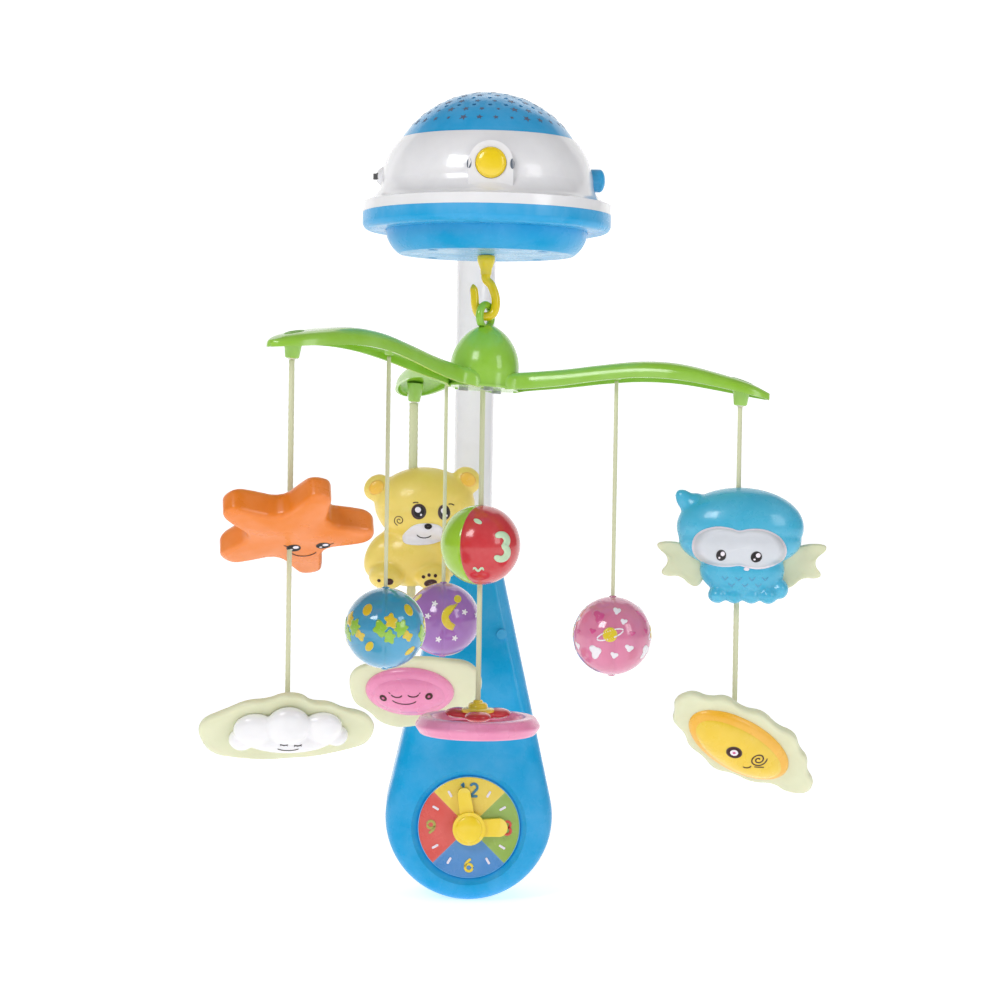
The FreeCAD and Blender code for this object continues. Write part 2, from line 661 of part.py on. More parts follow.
def make_projector():
    outer = turned("shell_outer", shell_points(as_size(0), as_size(0))
                   + [(0, 0), (0, D.dome_seam)])
    inner = turned("shell_inner", shell_points(D.shell_wall, as_size(-1))
                   + [(0, -1), (0, D.dome_seam - 2.2)])
    mouth = cylinder("shell_mouth", D.dome_seam_radius - 2, 30, z=D.dome_seam - 20)
    pods = []
    for side in (1, -1):
        pod = ellipsoid("pod%d" % side, 26, D.pod_half_width, 12, x=side * (D.pod_reach - 26),
                        z=D.side_button_height)
        pods.append(pod)
    panel = padded("play_panel", "XZ_Plane", [
        (D.panel_half_width, 8), (D.panel_half_width, D.play_height, D.panel_half_width),
        (0, D.play_height + D.panel_half_width, D.panel_half_width),
        (-D.panel_half_width, D.play_height), (-D.panel_half_width, 8)], 12,
        offset=D.shoulder_radius - 10)
    socket = cylinder("boom_socket", D.tube_radius + 4, 40, y=D.shoulder_radius - 26,
                      z=D.boom_height - D.flange_height, turn=ALONG_Y)
    solid = fuse("shell_solid", outer, panel, socket, *pods)
    play_hole = cylinder("play_hole", D.play_radius + 0.3, 60, y=-D.shoulder_radius - 30,
                         z=D.play_height, turn=ALONG_Y)
    boom_hole = cylinder("boom_hole", D.tube_radius + D.fit_gap, 60, y=D.shoulder_radius - 22,
                         z=D.boom_height - D.flange_height, turn=ALONG_Y)
    side_hole = cylinder("side_hole", 8.3, 30, x=D.pod_reach - 12, z=D.side_button_height,
                         turn=ALONG_X)
    switch_slot = block("switch_slot", 30, 9, 4.4, x=-D.pod_reach - 12, y=-4.5,
                        z=D.side_button_height - 2.2)
    body = cut("projector_shell", solid, inner, mouth, play_hole, boom_hole, side_hole,
               switch_slot)
    base_cut = block("panel_trim", 400, 400, 100, x=-200, y=-200, z=-100)
    shell = cut("projector_upper", body, base_cut)
    publish(place(shell, y=HUB_Y, z=D.flange_height), "projector_body")

    make_dome()
    ring = turned("ring", [
        (D.flange_radius - 5, -D.ring_height, 5), (D.flange_radius, -D.ring_height + 5),
        (D.flange_radius, -0.05), (D.flange_radius - 8, -0.05), (D.flange_radius - 8, -3),
        (D.tray_radius + 0.1, -D.ring_height + 2), (D.tray_radius + 0.1, -D.ring_height)])
    publish(place(ring, y=HUB_Y, z=D.flange_height), "projector_ring")

    wall = D.shell_wall
    floor = -D.tray_depth
    tray = turned("tray", [
        (0, floor), (D.tray_floor_radius, floor, 22), (D.tray_radius, -D.ring_height + 1),
        (D.tray_radius, -3), (D.tray_radius - wall, -3), (D.tray_radius - wall, -14),
        (D.tray_floor_radius - wall, floor + wall), (0, floor + wall)])
    bearing = cylinder("tray_bearing", D.hook_collar, 9, z=floor)
    bearing_hole = cylinder("tray_bearing_hole", 4 + D.fit_gap, 60, z=floor - 10)
    screw_posts = []
    screw_bores = []
    for x, y in projector_screw_places():
        screw_posts.append(cylinder("tray_post", 4.5, D.tray_depth - 4, x=x, y=y, z=floor))
        screw_bores.append(cylinder("tray_bore", D.screw_radius + 0.1, 60, x=x, y=y,
                                    z=floor - 10))
        screw_bores.append(cylinder("tray_sink", D.screw_head_radius + 0.3, 12, x=x, y=y,
                                    z=floor - 6))
    tray_shell = cut("tray_shell", fuse("tray_solid", tray, bearing, *screw_posts),
                     bearing_hole, *screw_bores)
    publish(place(tray_shell, y=HUB_Y, z=D.flange_height), "projector_tray")

    screws = []
    for number, (x, y) in enumerate(projector_screw_places()):
        screws.append(fuse(
            "tray_screw%d" % number,
            cylinder("tray_shank", D.screw_radius, 26, x=x, y=y, z=floor + 6),
            cylinder("tray_head", D.screw_head_radius, 2.4, x=x, y=y, z=floor + 3.6)))
    publish(place(fuse("tray_screws", *screws), y=HUB_Y, z=D.flange_height), "projector_screws")


def projector_screw_places():
    reach = D.tray_floor_radius.value - 8
    return [(reach * math.cos(turn), reach * math.sin(turn))
            for turn in (math.radians(45 + 90 * step) for step in range(4))]


def make_dome():
    """The night-light dome, pierced by rings of small round holes."""
    drop = math.sqrt(D.dome_radius.value ** 2 - D.dome_seam_radius.value ** 2)
    centre = D.dome_seam - drop
    ball = sphere("dome_ball", D.dome_radius, z=centre)
    hollow = sphere("dome_hollow", D.dome_radius - D.dome_wall, z=centre)
    below = block("dome_below", 300, 300, 200, x=-150, y=-150, z=D.dome_seam - 200)
    rim = cylinder("dome_rim_outer", D.dome_seam_radius - 2.1, 6, z=D.dome_seam - 5)
    rim_hole = cylinder("dome_rim_hole", D.dome_seam_radius - 4, 8, z=D.dome_seam - 6)
    holes = []
    for ring, (lean, count) in enumerate([(0, 1), (9, 6), (18, 12), (27, 18), (36, 24)]):
        for step in range(count):
            around = 360.0 * (step + 0.5 * (ring % 2)) / count
            turn = Rotation(Vector(0, 0, 1), around) * Rotation(Vector(0, 1, 0), lean)
            hole = cylinder("star_hole", D.star_hole, 8)
            inside = turn.multVec(Vector(0, 0, D.dome_radius.value - 5))
            hole.Placement = Placement(inside + Vector(0, 0, centre.value), turn)
            holes.append(hole)
    cap = cut("dome_cap", ball, hollow, below)
    skin = fuse("dome_skin", cap, cut("dome_rim", rim, rim_hole))
    pierced = cut("dome", skin, bundle("star_holes", *holes))
    publish(place(pierced, y=HUB_Y, z=D.flange_height), "projector_dome")


def make_projector_inside():
    leg_reach = 32
    floor = -D.tray_depth + D.shell_wall
    board_level = 8
    plate = cylinder("led_sheet", 36, 1.6, z=board_level)
    lamps = [ellipsoid("led%d" % i, 3, 3, 5, x=12 * math.cos(i * 2.094),
                       y=12 * math.sin(i * 2.094), z=board_level + 4) for i in range(3)]
    legs = [cylinder("led_leg%d" % i, 2.5, board_level - floor,
                     x=leg_reach * math.cos(math.radians(45 + 90 * i)),
                     y=leg_reach * math.sin(math.radians(45 + 90 * i)), z=floor)
            for i in range(4)]
    publish(place(fuse("led_unit", plate, *(lamps + legs)), y=HUB_Y, z=D.flange_height),
            "led_board")

    offset = gear_distance()
    can = cylinder("motor_can", D.motor_radius, D.motor_length, x=offset, z=-13.4)
    shaft_hole = cylinder("motor_bore", 1.05, 12, x=offset, z=-16)
    publish(place(cut("motor_unit", can, shaft_hole), y=HUB_Y, z=D.flange_height), "motor")


def make_buttons():
    front = -D.shoulder_radius - 1
    face = cylinder("play_face", D.play_radius, 14, y=front + 12, z=D.play_height,
                    turn=ALONG_MINUS_Y)
    crown = ellipsoid("play_crown", D.play_radius * 0.93, 2.6, D.play_radius * 0.93,
                      y=front - 2, z=D.play_height)
    lugs = block("play_lugs", D.play_radius * 2 + 4, 2, 3, x=-D.play_radius - 2, y=front + 11.2,
                 z=D.play_height - 1.5)
    publish(place(fuse("play", face, crown, lugs), y=HUB_Y, z=D.flange_height), "play_button")

    stem = cylinder("side_stem", 8, 14, x=D.pod_reach - 13, z=D.side_button_height,
                    turn=ALONG_X)
    bead = ellipsoid("side_bead", 3.6, 7.8, 7.8, x=D.pod_reach + 0.6, z=D.side_button_height)
    publish(place(fuse("side", stem, bead), y=HUB_Y, z=D.flange_height), "side_button")

    slider = block("slider_stem", 15, 4, 4, x=-D.pod_reach - 1.5, y=-2,
                   z=D.side_button_height - 2)
    publish(place(bundle("switch_slider", slider), y=HUB_Y, z=D.flange_height), "side_switch")


# ---------------------------------------------------------------- rotation drive and hook

def gear_distance():
    teeth = D.pinion_teeth + D.output_teeth
    return D.gear_module * teeth / 2 + D.gear_backlash * 0.5


def gear(label, teeth, bore, start_angle):
    """A spur gear as a toothed disc, with straight flanks thinned for backlash."""
    module = D.gear_module.value
    count = int(teeth.value)
    pitch = module * count / 2
    tip = pitch + module * 0.9
    root = pitch - module * 1.15
    quarter = (math.pi * module / 2 - D.gear_backlash.value) / 2
    points = []
    for tooth in range(count):
        middle = start_angle + 2 * math.pi * tooth / count
        for radius, half in ((root, quarter * 1.45), (pitch, quarter), (tip, quarter * 0.45)):
            points.append((radius, middle - half / radius))
        for radius, half in ((tip, quarter * 0.45), (pitch, quarter), (root, quarter * 1.45)):
            points.append((radius, middle + half / radius))
    corners = [Vector(r * math.cos(a), r * math.sin(a), 0) for r, a in points]
    wire = Part.makePolygon(corners + corners[:1])
    blank = Part.Face(wire).extrude(Vector(0, 0, D.gear_thick.value))
    hole = Part.makeCylinder(value_of(bore), 20, Vector(0, 0, -5))
    obj = doc.addObject("Part::Feature", label + "_teeth")
    obj.Shape = blank.cut(hole)
    return obj


def make_drive():
    """Motor pinion beside the output gear, whose shaft carries the hook below the tray."""
    level = -D.tray_depth + 10
    pinion_start = math.pi + math.pi / D.pinion_teeth.value
    pinion = gear("pinion", D.pinion_teeth, 0.01, pinion_start)
    pinion_shaft = cylinder("pinion_shaft", 1, 10)
    pinion_unit = fuse("pinion_unit", pinion, pinion_shaft)
    place(pinion_unit, x=gear_distance(), y=HUB_Y, z=D.flange_height + level)
    publish(pinion_unit, "motor_pinion")
    output = gear("output", D.output_teeth, 4.02, 0)
    publish(place(output, y=HUB_Y, z=D.flange_height + level), "output_gear")


def make_hook():
    """The snap hook: its shaft, its collar and the bent wire that carries the mobile."""
    top = D.hook_top
    shaft = cylinder("hook_shaft", 4, D.tray_depth, z=top)
    head = cylinder("hook_shaft_head", 5.5, 2, z=top + D.tray_depth - 4)
    collar = cone("hook_bell", 4, 6.5, 10, z=top - 10)
    stem = cylinder("hook_stem", 3.6, 16, z=top - 24)
    bend = D.hook_bend
    low = D.hook_bottom + D.hook_wire + bend
    path = [Vector(1, 0, top.value - 22), Vector(bend.value, 0, low.value + 10),
            Vector(bend.value, 0, low.value), Vector(0, 0, low.value - bend.value),
            Vector(-bend.value, 0, low.value), Vector(-bend.value - 2, 0, low.value + 15)]
    wire = Part.Wire([Part.makeLine(path[0], path[1]), Part.makeLine(path[1], path[2]),
                      Part.Arc(path[2], path[3], path[4]).toShape(),
                      Part.makeLine(path[4], path[5])])
    section = Part.Wire(Part.makeCircle(D.hook_wire.value, path[0], path[1] - path[0]))
    bent = doc.addObject("Part::Feature", "hook_wire_form")
    bent.Shape = wire.makePipeShell([section], True, False, 2)
    knob = ellipsoid("hook_tip", 4, 3.4, 3.4, x=-bend - 2, z=low + 15)
    publish(place(fuse("hook", shaft, head, collar, stem, bent, knob), y=HUB_Y, z=D.hub_plane),
            "hook")


# ---------------------------------------------------------------- hub and arms

def tilt():
    """Rest lean of the hanging mobile, about a point on the hook's axis."""
    turn = Rotation(Vector(1, 0, 0), D.tilt_front.value) * Rotation(Vector(0, 1, 0), D.tilt_side.value)
    pivot = Vector(0, 0, D.tilt_pivot.value)
    hub = Vector(0, HUB_Y.value, D.hub_plane.value)
    return Placement(hub + pivot - turn.multVec(pivot), turn)


def arm_turns():
    """Azimuth of the right, back and left arm."""
    return [Rotation(Vector(0, 0, 1), D.arm_azimuth.value + 120 * step) for step in range(3)]


def arm_top(reach):
    """Height of an arm's top line at a distance from the hub's axis."""
    root = Vector(D.arm_root.value, D.arm_root_top.value, 0)
    end = Vector(D.arm_end.value, D.arm_tip_top.value, 0)
    centre = arc_centre(end, root, D.arm_bow.value)
    return centre.y + math.sqrt(D.arm_bow.value ** 2 - (reach - centre.x) ** 2)


def hang_point(arm, reach):
    """Where a cord leaves the underside of an arm."""
    local = Vector(reach.value, 0, arm_top(reach.value) - D.arm_drop.value)
    return tilt().multVec(arm_turns()[arm].multVec(local))


def arm_form(name, inset):
    """An arched bar trimmed to a leaf shape, or the channel cut into it from below."""
    root = D.arm_root + inset * 4
    end = D.arm_end - inset
    under = -as_size(D.arm_drop) - inset * 12
    side = padded(name + "_side", "XZ_Plane", [
        (root, D.arm_root_top + under, -(D.arm_bow - inset)),
        (end - 6, D.arm_tip_top + under + 2), (end, D.arm_tip_top - inset - 1),
        (end - 2, D.arm_tip_top - inset, D.arm_bow - inset), (root, D.arm_root_top - inset)],
        60, midplane=True)
    half_root = D.arm_root_width / 2 - inset
    half_wide = D.arm_width / 2 - inset
    leaf = padded(name + "_leaf", "XY_Plane", [
        (root, -half_root, 460), (D.arm_wide_at, -half_wide, 33), (end, -3), (end, 3, 33),
        (D.arm_wide_at, half_wide, 460), (root, half_root)], 90)
    return common(name, side, leaf)


def make_arm(label, arm):
    bar = arm_form(label + "_bar", as_size(0))
    channel = arm_form(label + "_channel", D.arm_wall)
    saddle = cylinder(label + "_saddle", D.hub_radius + D.hub_foot + D.fit_gap, 90)
    bosses = []
    bores = []
    for name, reach in (("tip", D.tip_cord), ("mid", D.mid_cord)):
        top = arm_top(reach.value)
        bosses.append(cylinder(label + "_boss_" + name, 4.5, D.arm_drop - 2, x=reach,
                               z=top - D.arm_drop.value))
        bores.append(cylinder(label + "_bore_" + name, D.cord_radius + 0.3, 6, x=reach,
                              z=top - D.arm_drop.value - 1))
    shell = fuse(label + "_ribbed", cut(label + "_shell", bar, channel), *bosses)
    solid = cut(label + "_cut", shell, saddle, *bores)
    solid.Placement = tilt() * Placement(Vector(), arm_turns()[arm])
    publish(solid, label)


def make_hub():
    bottom = D.hub_bottom
    radius = D.hub_radius
    wall = D.hub_wall
    dome = turned("hub_shell", [
        (radius - wall, bottom), (radius + D.hub_foot, bottom), (radius + D.hub_foot, bottom + 1.6),
        (radius, bottom + 1.6), (radius, bottom + 10, 33), (5, D.hub_top), (0, D.hub_top),
        (0, D.hub_top - wall), (4, D.hub_top - wall, -(33 - wall)),
        (radius - wall, bottom + 10)])
    lean = Rotation(Vector(0, 0, 1), -32) * Rotation(Vector(0, 1, 0), 90)
    eye = torus("hub_eye", D.eye_radius, D.eye_wire, x=-D.eye_shift, y=-D.eye_shift, z=D.eye_centre,
                turn=lean)
    below = cylinder("hub_eye_trim", 20, 20, z=D.hub_top - 1 - 20)
    eye_ring = cut("hub_eye_ring", eye, below)
    posts = []
    bores = []
    for x, y in hub_screw_places():
        posts.append(cylinder("hub_post", 3.8, 28, x=x, y=y, z=bottom + 3.1))
        bores.append(cylinder("hub_bore", D.screw_radius, 13, x=x, y=y, z=bottom))
    shell = cut("hub_dome_cut", fuse("hub_dome_solid", dome, eye_ring, *posts), *bores)
    shell.Placement = tilt()
    publish(shell, "hub_dome")

    plate = cylinder("hub_plate", radius - wall - D.fit_gap, 3, z=bottom)
    holes = [cylinder("hub_plate_hole", D.screw_radius + 0.1, 20, x=x, y=y, z=bottom - 5)
             for x, y in hub_screw_places()]
    centre_hole = cylinder("hub_cord_hole", D.cord_radius + 0.4, 20, z=bottom - 5)
    cap = cut("hub_cap_cut", plate, centre_hole, *holes)
    cap.Placement = tilt()
    publish(cap, "hub_cap")

    screws = []
    for x, y in hub_screw_places():
        shank = cylinder("hub_shank", D.screw_radius, 12, x=x, y=y, z=bottom)
        head = cylinder("hub_head", D.screw_head_radius, 2, x=x, y=y, z=bottom - 2)
        screws.append(fuse("hub_screw", shank, head))
    group = fuse("hub_screw_group", *screws)
    group.Placement = tilt()
    publish(group, "hub_screws")


def hub_screw_places():
    return [(14 * math.cos(turn), 14 * math.sin(turn))
            for turn in (math.radians(45 + 120 * step) for step in range(3))]


# ---------------------------------------------------------------- cords and balls

SWING_GAP = 0.6


def cord(label, arm, reach, end_height, radius=None):
    """A cord hanging from an arm down to a height above the hub's reference plane."""
    top = hang_point(arm, reach)
    length = top.z - SWING_GAP - D.hub_plane.value - value_of(end_height)
    line = cylinder(label + "_line", radius or D.cord_radius, length)
    line.Placement = Placement(Vector(top.x, top.y, top.z - SWING_GAP - length), Rotation())
    return publish(line, label)


def hang(obj, arm, reach, height):
    """Place a toy on a cord's line, at a height above the hub's reference plane."""
    top = hang_point(arm, reach)
    obj.Placement = Placement(Vector(top.x, top.y, D.hub_plane.value + height.value), Rotation())
    return obj


def make_balls():
    for label, arm, height in (("blue_ball", 2, D.blue_ball_height),
                               ("purple_ball", 1, D.purple_ball_height),
                               ("pink_ball", 0, D.pink_ball_height)):
        ball = ball_shell(label + "_form", D.ball_radius, D.ball_wall, D.thin_cord_radius)
        publish(hang(ball, arm, D.mid_cord, height), label)
        cord(label + "_cord", arm, D.mid_cord, height - D.ball_radius - 1, D.thin_cord_radius)


# ---------------------------------------------------------------- hanging toys

def facing(turn_right, turn_down, roll):
    """Rotation of a toy that faces -Y, turned right and down and rolled clockwise."""
    return (Rotation(Vector(0, 0, 1), turn_right) * Rotation(Vector(1, 0, 0), turn_down)
            * Rotation(Vector(0, 1, 0), roll))


def turned_group(name, rotation, *shapes):
    group = fuse(name, *shapes) if len(shapes) > 1 else bundle(name, *shapes)
    group.Placement = Placement(Vector(), rotation)
    return group


def cord_hole(name):
    return cylinder(name, D.cord_radius + D.cord_gap, 300, z=-150)


def scallops(half_x, half_z, lobes, bulge, start=0.0):
    """Corners of a wavy oval outline."""
    corners = []
    for lobe in range(lobes):
        turn = start + 2 * math.pi * lobe / lobes
        corners.append((half_x * math.cos(turn), half_z * math.sin(turn), bulge))
    return corners


def puffy_face(name, half_x, half_z, rise, back):
    """A domed oval button standing proud of a flat back."""
    whole = ellipsoid(name + "_whole", half_x, rise, half_z, y=back)
    behind = block(name + "_behind", 300, 100, 300, x=-150, y=back, z=-150)
    return cut(name + "_dome", whole, behind)


def lower_toy(prefix, arm, height, backing, face, rotation):
    """A wavy backing with a domed face, hung from a boss behind its middle."""
    boss = cylinder(prefix + "_boss", 4, 8)
    plate = cut(prefix + "_trimmed", fuse(prefix + "_tied", turned_group(
        prefix + "_plate", rotation, backing), boss),
        turned_group(prefix + "_keep_out", rotation, block(prefix + "_front", 200, 60, 200,
                                                           x=-100, y=-63, z=-100)))
    publish(hang(plate, arm, D.tip_cord, height), prefix + "_backing")
    front = bundle(prefix + "_face_form", turned_group(prefix + "_front_face", rotation, face))
    publish(hang(front, arm, D.tip_cord, height), prefix + "_face")


def star_corners():
    """Corners of a blunt five-armed star, anticlockwise from its first arm."""
    corners = []
    half_tip = D.star_tip_radius.value * 0.93
    for arm in range(5):
        turn = math.radians(90 + 72 * arm)
        valley = turn + math.radians(36)
        along = Vector(math.cos(turn), math.sin(turn), 0)
        across = Vector(along.y, -along.x, 0)
        shoulder = along * (D.star_radius.value - D.star_tip_radius.value)
        right = shoulder + across * half_tip
        left = shoulder - across * half_tip
        notch = Vector(math.cos(valley), math.sin(valley), 0) * D.star_waist.value
        corners += [(right.x, right.y, D.star_tip_radius), (left.x, left.y), (notch.x, notch.y)]
    return corners


def make_star_and_cloud():
    thick = D.star_thick
    slab = padded("star_slab", "XZ_Plane", star_corners(), thick, offset=-thick / 2)
    round_edges(slab, "star_round", D.star_round,
                lambda edge: edge.BoundBox.YMax - edge.BoundBox.YMin < 0.1)
    group = turned_group("star_form", facing(8, 58, 17), slab)
    publish(hang(cut("star_cut", group, cord_hole("star_hole_through")), 2, D.tip_cord,
                 D.star_height), "star")
    cord("star_cord", 2, D.tip_cord, D.cloud_height + 8 + SWING_GAP)
    backing = padded("cloud_plate_form", "XZ_Plane", scallops(as_size(50), as_size(31), 8, 24), 6,
                     offset=-3)
    face = puffy_face("cloud_puff", 34, 23, 11, -3.05)
    lower_toy("cloud", 2, D.cloud_height, backing, face, facing(8, 40, 3))


def make_bear_and_flower():
    head = ellipsoid("bear_head", 42, 27, 30, z=21)
    trunk = ellipsoid("bear_trunk", 33, 25, 30, z=-18)
    ears = [ellipsoid("bear_ear%d" % side, 11, 9, 11, x=34 * side, z=38) for side in (-1, 1)]
    feet = [ellipsoid("bear_foot%d" % side, 15, 16, 12, x=20 * side, y=-14, z=-36)
            for side in (-1, 1)]
    muzzle = ellipsoid("bear_muzzle", 19, 10, 11, x=6, y=-23, z=14)
    slot = block("bear_slot", D.strap_width + 0.2, D.strap_thick + 0.2, 300,
                 x=-D.strap_width / 2 - 0.1, y=-D.strap_thick / 2 - 0.1, z=-150)
    group = turned_group("bear_form", facing(0, 6, 4), head, trunk, muzzle, *(ears + feet))
    publish(hang(cut("bear_cut", group, slot), 1, D.tip_cord, D.bear_height), "bear")

    top = hang_point(1, D.tip_cord)
    end = D.hub_plane.value + D.flower_height.value + 8 + SWING_GAP
    strap = block("bear_strap", D.strap_width, D.strap_thick, top.z - SWING_GAP - end)
    strap.Placement = Placement(Vector(top.x - D.strap_width.value / 2,
                                       top.y - D.strap_thick.value / 2, end), Rotation())
    publish(strap, "bear_cord")
    backing = padded("flower_plate_form", "XZ_Plane", scallops(as_size(50), as_size(36), 7, 26), 6,
                     offset=-3)
    face = puffy_face("flower_puff", 37, 26, 12, -3.05)
    lower_toy("flower", 1, D.flower_height, backing, face, facing(-6, 34, 4))


def make_owl_and_sun():
    head = ellipsoid("owl_head", 44.5, 24, 27, z=11)
    trunk = ellipsoid("owl_trunk", 31, 21, 27, z=-12)
    tuft = cone("owl_tuft", 12, 2, 22, x=-28, z=20, turn=Rotation(Vector(0, 1, 0), -22))
    group = turned_group("owl_form", facing(-4, 8, 4), head, trunk, tuft)
    publish(hang(cut("owl_cut", group, cord_hole("owl_hole")), 0, D.tip_cord, D.owl_height),
            "owl_body")
    wings = []
    for side in (-1, 1):
        wing = padded("owl_wing%d" % side, "XZ_Plane", scallops(as_size(21), as_size(17), 6, 13), 5,
                      offset=-8)
        wings.append(place(wing, x=39 * side, z=-6))
    spread = turned_group("owl_wing_pair", facing(-4, 8, 4), *wings)
    clear = turned_group("owl_clearance", facing(-4, 8, 4),
                         ellipsoid("owl_head_clear", 44.7, 24.2, 27.2, z=11),
                         ellipsoid("owl_trunk_clear", 31.2, 21.2, 27.2, z=-12))
    publish(hang(cut("owl_wings_cut", spread, clear), 0, D.tip_cord, D.owl_height), "owl_wings")
    cord("owl_cord", 0, D.tip_cord, D.sun_height + 8 + SWING_GAP)
    backing = padded("sun_plate_form", "XZ_Plane", scallops(as_size(56), as_size(34), 8, 26), 6,
                     offset=-3)
    face = puffy_face("sun_puff", 41, 26, 12, -3.05)
    lower_toy("sun", 0, D.sun_height, backing, face, facing(-8, 38, 36))


# ---------------------------------------------------------------- middle drop

def make_middle():
    """Number ball, ring and spinner on the cord below the hub."""
    start = tilt().multVec(Vector(0, 0, D.hub_bottom.value))
    top = start.z - SWING_GAP
    ring_z = D.hub_plane.value + D.ring_height_z.value
    end = ring_z - D.crossbar_thick.value / 2 + 1 - 2.6
    line = cylinder("centre_line", D.centre_cord_radius, top - end)
    knot = cylinder("centre_knot", D.centre_cord_radius + 3, 2.5)
    drop = fuse("centre_drop", line, knot)
    drop.Placement = Placement(Vector(start.x, start.y, end), Rotation())
    publish(drop, "centre_cord")

    ball_z = D.hub_plane.value + D.number_ball_height.value
    for side, label in ((1, "number_ball_right"), (-1, "number_ball_left")):
        shell = ball_shell(label + "_form", D.number_ball_radius, D.ball_wall, D.centre_cord_radius)
        half = block(label + "_half", 100, 200, 200, x=0.02 if side > 0 else -100.02, y=-100,
                     z=-100)
        part = common(label + "_part", shell, half)
        part.Placement = Placement(Vector(start.x, start.y, ball_z),
                                   Rotation(Vector(0, 0, 1), -32))
        publish(part, label)

    major = D.ring_outer - D.ring_section
    loop = torus("ring_loop", major, D.ring_section)
    bar = block("ring_bar", major * 2, D.crossbar_width, D.crossbar_thick, x=-major,
                y=-D.crossbar_width / 2, z=-D.crossbar_thick / 2 + 1)
    bar_hole = cylinder("ring_bar_hole", D.centre_cord_radius + D.fit_gap, 60, z=-30)
    ring = cut("ring_cut", fuse("ring_solid", loop, bar), bar_hole)
    ring.Placement = Placement(Vector(start.x, start.y, ring_z), Rotation())
    publish(ring, "ring")

    lift = D.crossbar_thick / 2 + 1.1
    hub = cylinder("spinner_hub", 8, D.spinner_thick, z=lift)
    cap = ellipsoid("spinner_cap", 8, 8, 6, z=lift + D.spinner_thick)
    lobes = [ellipsoid("spinner_lobe%d" % i, D.lobe_radius, D.lobe_radius, D.spinner_thick / 2,
                       x=D.lobe_reach * math.cos(0.5 + 2.094 * i),
                       y=D.lobe_reach * math.sin(0.5 + 2.094 * i), z=lift + D.spinner_thick / 2)
             for i in range(3)]
    spin_hole = cylinder("spinner_hole", D.centre_cord_radius + D.fit_gap, 80, z=-40)
    spinner = cut("spinner_cut", fuse("spinner_solid", hub, cap, *lobes), spin_hole)
    spinner.Placement = Placement(Vector(start.x, start.y, ring_z), Rotation())
    publish(spinner, "ring_spinner")


# ---------------------------------------------------------------- build, check and write

def check_document():
    for obj in doc.Objects:
        if "Invalid" in obj.State or "Error" in obj.State:
            raise RuntimeError("%s failed: %s" % (obj.Name, obj.getStatusString()))
    labels = [node.Label for node in nodes]
    if len(labels) != len(set(labels)) or len(labels) > 60:
        raise RuntimeError("labels must differ and number at most 60")
    for node in nodes:
        if node.Shape.isNull() or not node.Shape.isValid():
            raise RuntimeError("%s has no valid shape" % node.Label)


def write_nodes():
    os.makedirs("parts", exist_ok=True)
    for node in nodes:
        node.Shape.exportStep(os.path.join("parts", node.Label + ".step"))


make_base()
make_base_inside()
make_dial_knob()
make_clamp()
make_tubes()
make_projector()
make_projector_inside()
make_buttons()
make_drive()
make_hook()
make_hub()
for arm_number, arm_name in enumerate(("arm_right", "arm_back", "arm_left")):
    make_arm(arm_name, arm_number)
make_balls()
make_star_and_cloud()
make_bear_and_flower()
make_owl_and_sun()
make_middle()
doc.recompute()
check_document()
write_nodes()
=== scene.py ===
import json
import math

import bmesh
import bpy
from mathutils import Matrix, Vector
from mathutils.bvhtree import BVHTree


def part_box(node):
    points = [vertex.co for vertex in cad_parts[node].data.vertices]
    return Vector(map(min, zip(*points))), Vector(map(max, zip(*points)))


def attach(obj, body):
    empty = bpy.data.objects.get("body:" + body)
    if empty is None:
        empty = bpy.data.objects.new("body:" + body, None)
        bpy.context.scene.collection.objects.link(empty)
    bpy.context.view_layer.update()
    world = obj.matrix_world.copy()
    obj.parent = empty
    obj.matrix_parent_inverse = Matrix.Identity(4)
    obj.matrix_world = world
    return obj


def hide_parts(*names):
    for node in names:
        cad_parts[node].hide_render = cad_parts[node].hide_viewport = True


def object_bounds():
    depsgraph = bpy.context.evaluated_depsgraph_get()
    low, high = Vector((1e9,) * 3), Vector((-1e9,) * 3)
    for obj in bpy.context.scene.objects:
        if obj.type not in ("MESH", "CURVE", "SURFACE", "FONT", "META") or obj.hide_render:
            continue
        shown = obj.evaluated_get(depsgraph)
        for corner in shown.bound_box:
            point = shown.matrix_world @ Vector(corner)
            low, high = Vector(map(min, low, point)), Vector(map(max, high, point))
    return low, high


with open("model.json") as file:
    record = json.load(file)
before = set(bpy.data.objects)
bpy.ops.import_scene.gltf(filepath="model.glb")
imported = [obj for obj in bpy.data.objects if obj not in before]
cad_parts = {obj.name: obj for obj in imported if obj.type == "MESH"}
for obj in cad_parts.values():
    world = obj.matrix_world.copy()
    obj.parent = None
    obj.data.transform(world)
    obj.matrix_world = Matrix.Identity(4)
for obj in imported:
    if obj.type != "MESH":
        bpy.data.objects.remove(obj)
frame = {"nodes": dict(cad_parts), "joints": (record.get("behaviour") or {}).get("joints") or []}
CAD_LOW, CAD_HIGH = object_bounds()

MM = 0.001
JOINTS = {joint["name"]: joint for joint in frame["joints"]}
HUB = Vector(JOINTS["hook_spin"]["pos_m"])


def joint_point(name):
    """Where a joint of the frame sits, in millimetres."""
    return Vector(JOINTS[name]["pos_m"]) / MM


# ---------------------------------------------------------------- materials

def srgb(red, green, blue):
    """A linear colour from 0-255 screen values."""
    def linear(value):
        value = value / 255
        return value / 12.92 if value <= 0.04045 else ((value + 0.055) / 1.055) ** 2.4
    return (linear(red), linear(green), linear(blue), 1.0)


def mixed(color, other, share):
    """A colour moved towards another one by a share."""
    return tuple(a + (b - a) * share for a, b in zip(color[:3], other[:3])) + (1.0,)


